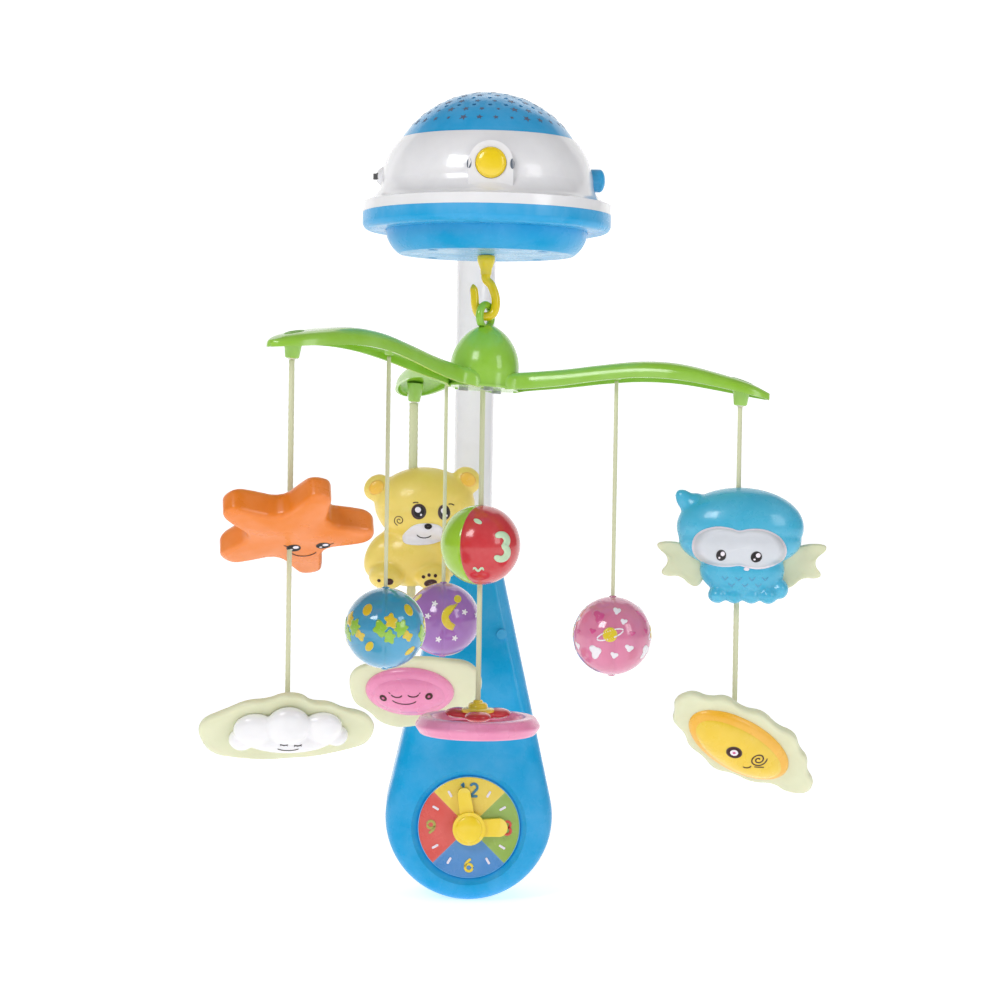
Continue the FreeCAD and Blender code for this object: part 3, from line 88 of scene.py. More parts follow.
class Nodes:
    """Short calls for building a node tree."""

    def __init__(self, name):
        self.material = bpy.data.materials.new(name)
        self.material.use_nodes = True
        self.tree = self.material.node_tree
        self.shader = self.tree.nodes["Principled BSDF"]

    def add(self, kind, **settings):
        node = self.tree.nodes.new(kind)
        for key, value in settings.items():
            if key in node.inputs:
                node.inputs[key].default_value = value
            else:
                setattr(node, key, value)
        return node

    def link(self, source, target):
        self.tree.links.new(source, target)

    def noise(self, scale, detail=4, rough=0.55):
        coords = self.add("ShaderNodeTexCoord")
        texture = self.add("ShaderNodeTexNoise", Scale=scale, Detail=detail, Roughness=rough)
        self.link(coords.outputs["Object"], texture.inputs["Vector"])
        return texture.outputs["Fac"]

    def ramp(self, source, low, high, low_at=0.35, high_at=0.65):
        ramp = self.add("ShaderNodeValToRGB")
        ramp.color_ramp.elements[0].position = low_at
        ramp.color_ramp.elements[1].position = high_at
        ramp.color_ramp.elements[0].color = low
        ramp.color_ramp.elements[1].color = high
        self.link(source, ramp.inputs["Fac"])
        return ramp.outputs["Color"]

    def mix(self, factor, first, second, blend="MIX"):
        mix = self.add("ShaderNodeMix", data_type="RGBA", blend_type=blend)
        for socket, value in ((mix.inputs[0], factor), (mix.inputs[6], first),
                              (mix.inputs[7], second)):
            if hasattr(value, "is_linked") or hasattr(value, "links"):
                self.link(value, socket)
            else:
                socket.default_value = value
        return mix.outputs[2]

    def bump(self, height, strength, distance=0.0002):
        bump = self.add("ShaderNodeBump", Strength=strength, Distance=distance)
        self.link(height, bump.inputs["Height"])
        self.link(bump.outputs["Normal"], self.shader.inputs["Normal"])


def plastic(name, color, rough=0.22, coat=0.35, glow=0.06, grain=900, grain_depth=0.10,
            transmission=0.0, shine=0.5):
    """Moulded plastic: cloudy colour, a painted highlight on convex edges, fine surface grain and uneven
    gloss.
    """
    n = Nodes(name)
    cloudy = n.ramp(n.noise(38), mixed(color, (0, 0, 0), 0.06), mixed(color, (1, 1, 1), 0.05))
    geometry = n.add("ShaderNodeNewGeometry")
    # painted highlight: convex edges, found by pointiness, are lightened a little towards white
    edge = n.ramp(geometry.outputs["Pointiness"], (0, 0, 0, 1), (1, 1, 1, 1), 0.53, 0.62)
    painted_edge_highlight = n.mix(n.mix(0.25, (0, 0, 0, 1), edge), cloudy, mixed(color, (1, 1, 1), 0.35))
    n.link(painted_edge_highlight, n.shader.inputs["Base Color"])
    gloss = n.ramp(n.noise(60, 8), (rough * 0.8,) * 3 + (1,), (rough * 1.35,) * 3 + (1,))
    n.link(gloss, n.shader.inputs["Roughness"])
    n.bump(n.noise(grain, 3), grain_depth)
    n.shader.inputs["Coat Weight"].default_value = coat
    n.shader.inputs["Coat Roughness"].default_value = 0.08
    n.shader.inputs["Subsurface Weight"].default_value = glow
    n.shader.inputs["Subsurface Radius"].default_value = (0.004, 0.003, 0.002)
    n.shader.inputs["Subsurface Scale"].default_value = 1.0
    n.shader.inputs["Transmission Weight"].default_value = transmission
    n.shader.inputs["Specular IOR Level"].default_value = shine
    n.shader.inputs["IOR"].default_value = 1.47
    return n.material


def cord_material(name, color):
    """Flat woven cord with a fine diagonal rib."""
    n = Nodes(name)
    coords = n.add("ShaderNodeTexCoord")
    wave = n.add("ShaderNodeTexWave", Scale=900, Distortion=1.5, Detail=2)
    wave.bands_direction = "DIAGONAL"
    n.link(coords.outputs["Object"], wave.inputs["Vector"])
    shade = n.ramp(wave.outputs["Fac"], mixed(color, (0, 0, 0), 0.14), color, 0.2, 0.8)
    n.link(shade, n.shader.inputs["Base Color"])
    n.shader.inputs["Roughness"].default_value = 0.6
    n.shader.inputs["Sheen Weight"].default_value = 0.3
    n.bump(wave.outputs["Fac"], 0.4)
    return n.material


def rubber_material(name, color):
    """Matt rubber with a fine pitted surface."""
    n = Nodes(name)
    shade = n.ramp(n.noise(220, 6), mixed(color, (0, 0, 0), 0.3), mixed(color, (1, 1, 1), 0.08))
    n.link(shade, n.shader.inputs["Base Color"])
    n.shader.inputs["Roughness"].default_value = 0.75
    n.bump(n.noise(2500, 2), 0.35)
    return n.material


def metal_material(name, color, rough=0.35):
    """Plated steel with fine scratches."""
    n = Nodes(name)
    coords = n.add("ShaderNodeTexCoord")
    stretch = n.add("ShaderNodeMapping")
    stretch.inputs["Scale"].default_value = (40, 40, 2500)
    brushed = n.add("ShaderNodeTexNoise", Scale=1.0, Detail=6)
    n.link(coords.outputs["Object"], stretch.inputs["Vector"])
    n.link(stretch.outputs["Vector"], brushed.inputs["Vector"])
    shade = n.ramp(brushed.outputs["Fac"], mixed(color, (0, 0, 0), 0.2), color)
    n.link(shade, n.shader.inputs["Base Color"])
    n.shader.inputs["Metallic"].default_value = 1.0
    n.shader.inputs["Roughness"].default_value = rough
    n.bump(brushed.outputs["Fac"], 0.12)
    return n.material


def board_material(name):
    """Circuit board with faint tracks."""
    n = Nodes(name)
    shade = n.ramp(n.noise(700, 2), srgb(12, 70, 32), srgb(20, 104, 50), 0.48, 0.52)
    n.link(shade, n.shader.inputs["Base Color"])
    n.shader.inputs["Roughness"].default_value = 0.4
    n.bump(n.noise(700, 2), 0.2)
    return n.material


BLUE = plastic("blue_plastic", srgb(0, 168, 230), rough=0.26, coat=0.12, glow=0, shine=0.25)
WHITE = plastic("white_plastic", srgb(244, 243, 246), rough=0.2, coat=0.5)
YELLOW = plastic("yellow_plastic", srgb(253, 219, 6), rough=0.2, coat=0.5, glow=0.1)
GREEN = plastic("green_plastic", srgb(150, 206, 52), rough=0.2, coat=0.4, glow=0.06)
# painted shade: a darker copy of the arm green, laid in the dimple's recess
GREEN_PAINTED_SHADE = plastic("green_painted_shade", srgb(120, 188, 44), rough=0.3, glow=0.1)
BLACK = plastic("black_plastic", srgb(26, 26, 30), rough=0.35, coat=0.1, glow=0)
ACETAL = plastic("gear_plastic", srgb(228, 226, 214), rough=0.4, coat=0)
# painted shade: dark blue standing in for the shadow inside the dome's pierced star holes
DOME_HOLE_SHADE = plastic("dome_hole_painted_shade", srgb(6, 52, 104), rough=0.4, coat=0.1, glow=0)
# painted shadow: dark grey-blue standing in for the shade inside the play button's finger notches
NOTCH_PAINTED_SHADOW = plastic("notch_shadow", srgb(70, 84, 104), rough=0.5, coat=0, glow=0)
DOME_BLUE = plastic("dome_plastic", srgb(4, 166, 228), rough=0.18, coat=0.25, glow=0)
ORANGE = plastic("orange_plastic", srgb(244, 130, 8), rough=0.3, coat=0.25, glow=0.08)
CREAM = plastic("glow_cream", srgb(226, 228, 192), rough=0.36, coat=0.2, glow=0.25)
BEAR = plastic("bear_plastic", srgb(248, 219, 104), rough=0.34, coat=0.2, glow=0.16)
EAR_ORANGE = plastic("bear_ear_orange", srgb(252, 196, 60), rough=0.36, coat=0.1)
MUZZLE = plastic("muzzle_white", srgb(240, 236, 240), rough=0.34, coat=0.2)
BROWN = plastic("print_brown", srgb(62, 20, 14), rough=0.5, coat=0, glow=0, shine=0.15)
INK = plastic("print_black", srgb(18, 8, 14), rough=0.5, coat=0.05, glow=0, shine=0.15)
EYE_LIGHT = plastic("eye_highlight", srgb(250, 240, 250), rough=0.25, coat=0.3)
PINK = plastic("pink_plastic", srgb(240, 142, 186), rough=0.26, coat=0.4, glow=0.12)
OWL = plastic("owl_plastic", srgb(60, 184, 222), rough=0.26, coat=0.4, glow=0.12)
OWL_FACE = plastic("owl_face_white", srgb(216, 220, 228), rough=0.35, coat=0.2)
SUN = plastic("sun_plastic", srgb(244, 206, 40), rough=0.28, coat=0.35, glow=0.14)
SUN_RIM = plastic("sun_rim_orange", srgb(248, 186, 40), rough=0.3, coat=0.3, glow=0.1)
RED = plastic("red_plastic", srgb(214, 18, 36), rough=0.18, coat=0.6)
LIME = plastic("lime_plastic", srgb(164, 212, 16), rough=0.18, coat=0.6)
MINT = plastic("print_mint", srgb(206, 236, 196), rough=0.3, coat=0.3)
BALL_BLUE = plastic("ball_blue", srgb(64, 180, 230), rough=0.08, coat=0.8, transmission=0.25)
BALL_PURPLE = plastic("ball_purple", srgb(178, 116, 208), rough=0.08, coat=0.8, transmission=0.25)
BALL_PINK = plastic("ball_pink", srgb(242, 138, 180), rough=0.08, coat=0.8, transmission=0.25)
PRINT_GOLD = plastic("print_gold", srgb(232, 204, 30), rough=0.2, coat=0.7)
PRINT_LEAF = plastic("print_leaf", srgb(150, 206, 40), rough=0.2, coat=0.7)
PRINT_WHITE = plastic("print_white", srgb(246, 240, 248), rough=0.2, coat=0.7)
PRINT_MAGENTA = plastic("print_magenta", srgb(214, 70, 140), rough=0.2, coat=0.7)
DIAL_YELLOW = plastic("dial_yellow", srgb(246, 212, 20), rough=0.24)
DIAL_GREEN = plastic("dial_green", srgb(140, 178, 30), rough=0.24)
DIAL_RED = plastic("dial_red", srgb(226, 48, 26), rough=0.24)
DIAL_BLUE = plastic("dial_blue", srgb(2, 128, 204), rough=0.24)
DIAL_INK = plastic("dial_ink_blue", srgb(0, 120, 160), rough=0.3)
DIAL_OLIVE = plastic("dial_ink_olive", srgb(176, 168, 50), rough=0.3)
CORD = cord_material("cream_cord", srgb(226, 228, 190))
RUBBER = rubber_material("pad_rubber", srgb(60, 62, 66))
STEEL = metal_material("zinc_steel", srgb(196, 198, 204))
BOARD = board_material("circuit_board")
CELL = plastic("battery_sleeve", srgb(40, 44, 60), rough=0.25, coat=0.5, glow=0)


# ---------------------------------------------------------------- mesh helpers

def toy_matrix(centre, turn_right=0, turn_down=0, roll=0):
    """Frame of a toy that faces -Y, turned right and down and rolled clockwise, in millimetres."""
    turn = (Matrix.Rotation(math.radians(turn_right), 4, "Z")
            @ Matrix.Rotation(math.radians(turn_down), 4, "X")
            @ Matrix.Rotation(math.radians(roll), 4, "Y"))
    return Matrix.Translation(Vector(centre) * MM) @ turn @ Matrix.Scale(MM, 4)


def add_piece(name, verts, faces, material, body, matrix=None, slot=None, flat=False):
    """A finished piece from a mesh in millimetres, riding on a body of the frame."""
    mesh = bpy.data.meshes.new(name)
    mesh.from_pydata([tuple(v) for v in verts], [], faces)
    mesh.transform(matrix or Matrix.Scale(MM, 4))
    clean = bmesh.new()
    clean.from_mesh(mesh)
    bmesh.ops.remove_doubles(clean, verts=clean.verts, dist=1e-6)
    bmesh.ops.recalc_face_normals(clean, faces=clean.faces)
    clean.to_mesh(mesh)
    clean.free()
    for polygon in mesh.polygons:
        polygon.use_smooth = not flat
    obj = bpy.data.objects.new(name, mesh)
    bpy.context.scene.collection.objects.link(obj)
    obj.data.materials.append(material)
    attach(obj, body)
    return obj


def sharpen(obj, degrees=35):
    """Smooth shading that keeps edges sharper than an angle."""
    mesh = obj.data
    limit = math.radians(degrees)
    work = bmesh.new()
    work.from_mesh(mesh)
    for edge in work.edges:
        edge.smooth = edge.is_manifold and edge.calc_face_angle(0) < limit
    work.to_mesh(mesh)
    work.free()
    return obj


def lathe(profile, segments=128, close=True):
    """Verts and faces of a closed (radius, height) profile turned about Z."""
    verts = []
    faces = []
    count = len(profile)
    for step in range(segments):
        turn = 2 * math.pi * step / segments
        for radius, height in profile:
            verts.append((radius * math.cos(turn), radius * math.sin(turn), height))
    sides = count if close else count - 1
    for step in range(segments):
        here = step * count
        there = ((step + 1) % segments) * count
        for side in range(sides):
            after = (side + 1) % count
            faces.append((here + side, there + side, there + after, here + after))
    return verts, faces



def stack(outline, layers, front, back):
    """Verts and faces of (share, depth) layers of an outline, closed at both middles."""
    count = len(outline)
    verts = [(0, front, 0)]
    for share, depth in layers:
        verts += [(x * share, depth, z * share) for x, z in outline]
    verts.append((0, back, 0))
    last = len(verts) - 1
    faces = []
    for i in range(count):
        j = (i + 1) % count
        faces.append((0, 1 + i, 1 + j))
        faces.append((last, last - count + j, last - count + i))
    for layer in range(len(layers) - 1):
        low = 1 + layer * count
        for i in range(count):
            j = (i + 1) % count
            faces.append((low + i, low + count + i, low + count + j, low + j))
    return verts, faces


def pillow(outline, front, back, front_power=2.0, back_power=2.0, rings=22):
    """A puffed form from an outline of (x, z) points round the origin."""
    shares = [math.sin(math.pi / 2 * (i + 1) / rings) for i in range(rings)]
    layers = [(t, -front * (1 - t ** front_power) ** 0.5) for t in shares]
    layers += [(t, back * (1 - t ** back_power) ** 0.5) for t in reversed(shares[:-1])]
    return stack(outline, layers, -front, back)


def turns(count):
    """Even angles round a circle, in radians."""
    return [2 * math.pi * k / count for k in range(count)]


def polar(radius_at, count=160):
    """An outline from a radius that depends on the angle (radians)."""
    return [(radius_at(a) * math.cos(a), radius_at(a) * math.sin(a)) for a in turns(count)]


def smooth_loop(corners, count=160, rounds=3):
    """A smooth closed outline through a few corner points, by repeated corner cutting."""
    points = [Vector(c) for c in corners]
    for _ in range(rounds):
        cut = []
        for i, point in enumerate(points):
            after = points[(i + 1) % len(points)]
            cut.append(point.lerp(after, 0.25))
            cut.append(point.lerp(after, 0.75))
        points = cut
    lengths = [0]
    for i, point in enumerate(points):
        lengths.append(lengths[-1] + (points[(i + 1) % len(points)] - point).length)
    result = []
    side = 0
    for i in range(count):
        along = lengths[-1] * i / count
        while lengths[side + 1] < along:
            side += 1
        share = (along - lengths[side]) / (lengths[side + 1] - lengths[side])
        point = points[side].lerp(points[(side + 1) % len(points)], share)
        result.append((point.x, point.y))
    return result


def ball_part(centre, radii, turn=None):
    """An ellipsoid for blob(): centre, half axes and an optional rotation."""
    return Vector(centre), Vector(radii), turn or Matrix.Identity(3)


def blob(parts, voxel=1.3, smoothing=10):
    """Verts and faces of ellipsoids melted into one soft form."""
    work = bmesh.new()
    for centre, radii, turn in parts:
        matrix = (Matrix.Translation(centre) @ turn.to_4x4()
                  @ Matrix.Diagonal((radii.x, radii.y, radii.z, 1)))
        bmesh.ops.create_icosphere(work, subdivisions=4, radius=1, matrix=matrix)
    mesh = bpy.data.meshes.new("blob_work")
    work.to_mesh(mesh)
    work.free()
    obj = bpy.data.objects.new("blob_work", mesh)
    bpy.context.scene.collection.objects.link(obj)
    remesh = obj.modifiers.new("remesh", "REMESH")
    remesh.mode = "VOXEL"
    remesh.voxel_size = voxel
    soften = obj.modifiers.new("soften", "SMOOTH")
    soften.factor = 0.5
    soften.iterations = smoothing
    graph = bpy.context.evaluated_depsgraph_get()
    result = obj.evaluated_get(graph).to_mesh()
    verts = [v.co.copy() for v in result.vertices]
    faces = [tuple(p.vertices) for p in result.polygons]
    bpy.data.objects.remove(obj)
    bpy.data.meshes.remove(mesh)
    return verts, faces


class Surface:
    """A toy's own mesh, on which printed marks are laid."""

    def __init__(self, verts, faces, matrix, body, prefix):
        self.tree = BVHTree.FromPolygons([Vector(v) for v in verts], faces)
        self.matrix = matrix
        self.body = body
        self.prefix = prefix

    def drop(self, u, v, turn, lift):
        """The surface point in front of (u, v), raised by lift."""
        origin = turn @ Vector((u, -300, v))
        hit, normal, _, _ = self.tree.ray_cast(origin, turn @ Vector((0, 1, 0)))
        if hit is None:
            hit, normal, _, _ = self.tree.find_nearest(turn @ Vector((u, 0, v)))
        return hit + normal * lift

    def patch(self, name, rows, material, lift=0.22, sink=0.5, turn=None, closed=False):
        """A thin raised mark from rows of (u, v) points; closed rows run round a centre."""
        turn = turn or Matrix.Identity(3)
        verts = []
        for height in (lift, -sink):
            for row in rows:
                verts += [self.drop(u, v, turn, height) for u, v in row]
        width = len(rows[0])
        layer = width * len(rows)
        faces = []
        span = width if closed else width - 1
        for r in range(len(rows) - 1):
            for c in range(span):
                d = (c + 1) % width
                low = (r * width + c, r * width + d, (r + 1) * width + d, (r + 1) * width + c)
                faces.append(low)
                faces.append(tuple(layer + i for i in reversed(low)))
        borders = []
        if closed:
            edge = [(len(rows) - 1) * width + c for c in range(width)]
            borders.append(edge + edge[:1])
        else:
            top = list(range(width))
            right = [r * width + width - 1 for r in range(len(rows))]
            bottom = [(len(rows) - 1) * width + c for c in reversed(range(width))]
            left = [r * width for r in reversed(range(len(rows)))]
            borders.append(top + right[1:] + bottom[1:] + left[1:])
        for border in borders:
            for a, b in zip(border, border[1:]):
                faces.append((a, b, layer + b, layer + a))
        return add_piece(self.prefix + "_" + name, verts, faces, material, self.body, self.matrix)

    def spot(self, name, outline, material, centre=(0, 0), lift=0.22, turn=None, rings=5):
        """A filled mark with an outline round its centre."""
        rows = []
        for ring in range(rings + 1):
            share = max(ring / rings, 0.001)
            rows.append([(centre[0] + x * share, centre[1] + z * share) for x, z in outline])
        return self.patch(name, rows, material, lift=lift, turn=turn, closed=True)

    def oval(self, name, material, centre, half_x, half_z, roll=0, lift=0.22, turn=None):
        c, s = math.cos(math.radians(roll)), math.sin(math.radians(roll))
        ring = polar(lambda a: 1.0, 40)
        outline = [(x * half_x * c + z * half_z * s, -x * half_x * s + z * half_z * c)
                   for x, z in ring]
        return self.spot(name, outline, material, centre, lift, turn)

    def stroke(self, name, points, width, material, lift=0.22, turn=None, taper=0.6):
        """A painted line along points, with rounded ends."""
        path = [Vector(p) for p in points]
        total = sum((b - a).length for a, b in zip(path, path[1:]))
        rows = []
        run = 0.0
        for i, point in enumerate(path):
            before = path[max(i - 1, 0)]
            after = path[min(i + 1, len(path) - 1)]
            if i:
                run += (point - before).length
            along = (after - before).normalized()
            side = Vector((-along.y, along.x))
            reach = min(run, total - run) / (width * taper)
            half = width / 2 * math.sqrt(max(1 - (1 - min(reach, 1)) ** 2, 0.02))
            rows.append([tuple(point + side * half * k) for k in (-1, -0.4, 0.4, 1)])
        return self.patch(name, rows, material, lift=lift, turn=turn)


def dense(points, step=0.5):
    """The same path with points no further apart than step."""
    result = [points[0]]
    for a, b in zip(points, points[1:]):
        a, b = Vector(a), Vector(b)
        pieces = max(1, int((b - a).length / step))
        result += [tuple(a.lerp(b, (i + 1) / pieces)) for i in range(pieces)]
    return result


def curve_points(centre, radius, start, end, squash=1.0, steps=18):
    """An arc as (u, v) points, flattened by squash."""
    return [(centre[0] + radius * math.cos(math.radians(start + (end - start) * i / steps)),
             centre[1] + squash * radius * math.sin(math.radians(start + (end - start) * i / steps)))
            for i in range(steps + 1)]


def digit_paths(digit):
    """Strokes of a rounded digit in a box one unit high, about its middle."""
    if digit == "1":
        return [[(-0.14, 0.3), (0.04, 0.5), (0.04, -0.5)]]
    if digit == "2":
        hook = curve_points((0, 0.22), 0.27, 165, -35)
        return [hook + [(-0.27, -0.48), (0.3, -0.48)]]
    if digit == "3":
        return [curve_points((0, 0.24), 0.25, 150, -80), curve_points((0, -0.24), 0.28, 85, -150)]
    ring = curve_points((0, -0.2), 0.28, 0, 360, 1.0, 30)
    tail = [(0.14, 0.5)] + curve_points((0.26, -0.12), 0.54, 118, 184)
    if digit == "6":
        return [ring, tail]
    return [[(-x, -z) for x, z in ring], [(-x, -z) for x, z in tail]]


def write_digit(surface, name, digit, centre, height, width, material, lift=0.25, turn=None):
    """A raised digit on a surface."""
    for index, path in enumerate(digit_paths(digit)):
        points = dense([(centre[0] + x * height, centre[1] + z * height) for x, z in path])
        surface.stroke("%s_%d" % (name, index), points, width, material, lift=lift, turn=turn)


# how far three toys hang from the line of their cord, in millimetres
STAR_ASKEW = Vector((1.5, -6, -1.5))
OWL_ASKEW = Vector((3.5, 0, 0))
SUN_ASKEW = Vector((5, 0, 2.5))


def middle_height(node):
    """The height of a CAD node's middle, in millimetres."""
    low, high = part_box(node)
    return (low.z + high.z) / 2 / MM


def toy_centre(joint, node):
    """A toy's origin: on its cord's line, at the middle of its CAD solid."""
    place = joint_point(joint)
    return Vector((place.x, place.y, middle_height(node)))


def smooth_step(value):
    """An S-shaped blend of a 0 to 1 share."""
    value = min(max(value, 0.0), 1.0)
    return value * value * (3 - 2 * value)


def through(points, at):
    """A smooth curve's height at a place, through (place, height) points."""
    spans = list(zip(points, points[1:]))
    slopes = [(b[1] - a[1]) / (b[0] - a[0]) for a, b in spans]
    tangents = [slopes[0]] + [(p + q) / 2 for p, q in zip(slopes, slopes[1:])] + [slopes[-1]]
    for i, (a, b) in enumerate(spans):
        if at <= b[0] or i == len(spans) - 1:
            width = b[0] - a[0]
            t = min(max((at - a[0]) / width, 0), 1)
            return ((2 * t ** 3 - 3 * t ** 2 + 1) * a[1] + (t ** 3 - 2 * t ** 2 + t) * width
                    * tangents[i] + (3 * t ** 2 - 2 * t ** 3) * b[1] + (t ** 3 - t ** 2) * width
                    * tangents[i + 1])


def loft(rings):
    """Verts and faces joining closed rings of equal length, capped at both ends."""
    verts = [v for ring in rings for v in ring]
    count = len(rings[0])
    faces = [tuple(reversed(range(count)))]
    for r in range(len(rings) - 1):
        for i in range(count):
            j = (i + 1) % count
            faces.append((r * count + i, r * count + j, (r + 1) * count + j, (r + 1) * count + i))
    faces.append(tuple((len(rings) - 1) * count + i for i in range(count)))
    return verts, faces


def tube(path, radii, sides=28):
    """A round bar along a path, with a radius at each point."""
    points = [Vector(p) for p in path]
    rings = []
    side = Vector((0, 1, 0))
    for i, point in enumerate(points):
        along = (points[min(i + 1, len(points) - 1)] - points[max(i - 1, 0)]).normalized()
        if abs(along.dot(side)) > 0.95:
            side = Vector((1, 0, 0))
        first = (side - along * side.dot(along)).normalized()
        second = along.cross(first)
        rings.append([point + (first * math.cos(a) + second * math.sin(a)) * radii[i]
                      for a in turns(sides)])
    return loft(rings)


def smooth_path(corners, count=60):
    """Evenly spread points along a Catmull-Rom curve through the corners."""
    ends = [2 * Vector(corners[0]) - Vector(corners[1]), 2 * Vector(corners[-1]) - Vector(corners[-2])]
    pins = [ends[0]] + [Vector(c) for c in corners] + [ends[1]]
    spans = len(corners) - 1
    points = []
    for step in range(count + 1):
        along = spans * step / count
        i = min(int(along), spans - 1)
        t = along - i
        a, b, c, d = pins[i:i + 4]
        points.append(0.5 * (2 * b + (c - a) * t + (2 * a - 5 * b + 4 * c - d) * t ** 2
                             + (3 * b - a - 3 * c + d) * t ** 3))
    return points


def moved(verts, offset):
    """The same points shifted by an offset."""
    return [Vector(v) + Vector(offset) for v in verts]


def joined(*meshes):
    """One mesh from several (verts, faces) pairs."""
    verts = []
    faces = []
    for part_verts, part_faces in meshes:
        base = len(verts)
        verts += list(part_verts)
        faces += [tuple(base + i for i in face) for face in part_faces]
    return verts, faces


# ---------------------------------------------------------------- cords

def strap(name, joint, bottom, width, thick, body, nodes, twist=35):
    """A flat woven cord that hangs from a joint's point, with a knot at its lower end."""
    top = joint_point(joint)
    length = top.z - bottom
    rows = int(length / 1.6)
    rings = []
    for row in range(rows + 1):
        share = row / rows
        turn = math.radians(twist * math.sin(3.1 * share + len(name)))
        across = Vector((math.cos(turn), math.sin(turn), 0))
        through_it = Vector((-across.y, across.x, 0))
        ripple = 1 + 0.05 * math.sin(row * 2.1)
        middle = Vector((top.x, top.y, top.z - length * share))
        section = [(width / 2 * math.cos(a), thick / 2 * math.sin(a))
                   for a in turns(16)]
        rings.append([middle + across * (x * ripple) + through_it * (y * (1.6 - abs(x) / width))
                      for x, y in section])
    piece = add_piece(name, *loft(rings), CORD, body, slot="cream_cord")
    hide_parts(*nodes)
    return piece


def make_cords():
    """A woven cord for every hanging toy but the middle one."""
    for color in ("blue", "purple", "pink"):
        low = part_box(color + "_ball")[0].z / MM
        strap(color + "_cord_woven", color + "_ball_swing", low - 0.6, 2.9, 1.3, color + "_drop",
              [color + "_ball_cord"])
    for toy, lower in (("star", "cloud"), ("owl", "sun")):
        strap(toy + "_cord_woven", toy + "_swing", joint_point(lower + "_swing").z, 3.7, 1.7,
              toy + "_drop", [toy + "_cord"])
    strap("bear_cord_woven", "bear_swing", joint_point("flower_swing").z, 6.8, 1.9, "bear_drop",
          ["bear_cord"], twist=6)


# ---------------------------------------------------------------- hub, hook and arms

def tilt_matrix():
    """The mobile's rest lean, read from the frame: the arms' hang points span its plane."""
    tips = [joint_point(name) for name in ("owl_swing", "bear_swing", "star_swing")]
    middle = sum(tips, Vector()) / 3
    normal = (tips[1] - tips[0]).cross(tips[2] - tips[0]).normalized()
    return middle, normal


TIP_MIDDLE, HUB_AXIS = tilt_matrix()
TIP_REACH = (joint_point("owl_swing") - TIP_MIDDLE).length
ARM_BODY = "mobile"
HOOK_SQUEEZE = 0.86
ARM_ROOT = 19
ARM_TIP_ROUND = 10
POST_GAP = 0.9
ARM_LENGTH = 200.0
ARM_TOP = [(19, 41.0), (58, 46.0), (83, 50.3), (112, 54.3), (136, 54.4), (164, 49.6), (190, 42.6),
           (200, 38.0)]
ARM_DEPTH = [(19, 12.5), (83, 11.8), (136, 12.2), (164, 10.5), (190, 7.5), (200, 4.5)]
TIP_TOP = 27.6


def arm_place(joint, reach, height, across=0.0):
    """A point of an arm: reach along it, height over the hub's plane, across it."""
    along = (joint_point(joint) - TIP_MIDDLE).normalized()
    side = HUB_AXIS.cross(along)
    return TIP_MIDDLE + along * reach + side * across + HUB_AXIS * (height - TIP_TOP)


def arm_half_width(reach):
    """Half the width of an arm's leaf at a reach from the hub."""
    wide_at, root, wide = 152.0, 8.3, 19.5
    flare = 6.5 * math.exp(-((reach - 19) / 7.5) ** 2)
    if reach < wide_at:
        return root + flare + (wide - root) * smooth_step((reach - 24) / (wide_at - 24))
    return max(wide * math.sqrt(max(1 - ((reach - wide_at) / (ARM_LENGTH + 0.3 - wide_at)) ** 2, 0)),
               0.8)


def arm_ring(joint, reach, wall=2.1, power=0.58, steps=22):
    """The hollow section of an arm: its outer skin, then its inner one."""
    top = through(ARM_TOP, reach)
    depth = through(ARM_DEPTH, reach)
    half = arm_half_width(reach)
    points = []
    for inset, order in ((0.0, 1), (wall, -1)):
        width = max(half - inset, 0.3)
        rise = max(depth - inset, 0.3)
        for k in range(steps + 1)[::order]:
            turn = math.pi * k / steps
            across = width * math.copysign(abs(math.cos(turn)) ** power, math.cos(turn))
            height = top - depth + rise * abs(math.sin(turn)) ** power
            points.append(arm_place(joint, reach, height, across))
    return points


def post(joint, reach, low, high, radius_low, radius_high):
    """A round post under an arm."""
    rings = []
    for height, radius in ((low, radius_low * 0.8), (low + 0.7, radius_low), (high, radius_high)):
        rings.append([arm_place(joint, reach + radius * math.cos(a), height, radius * math.sin(a))
                      for a in turns(32)])
    return loft(rings)


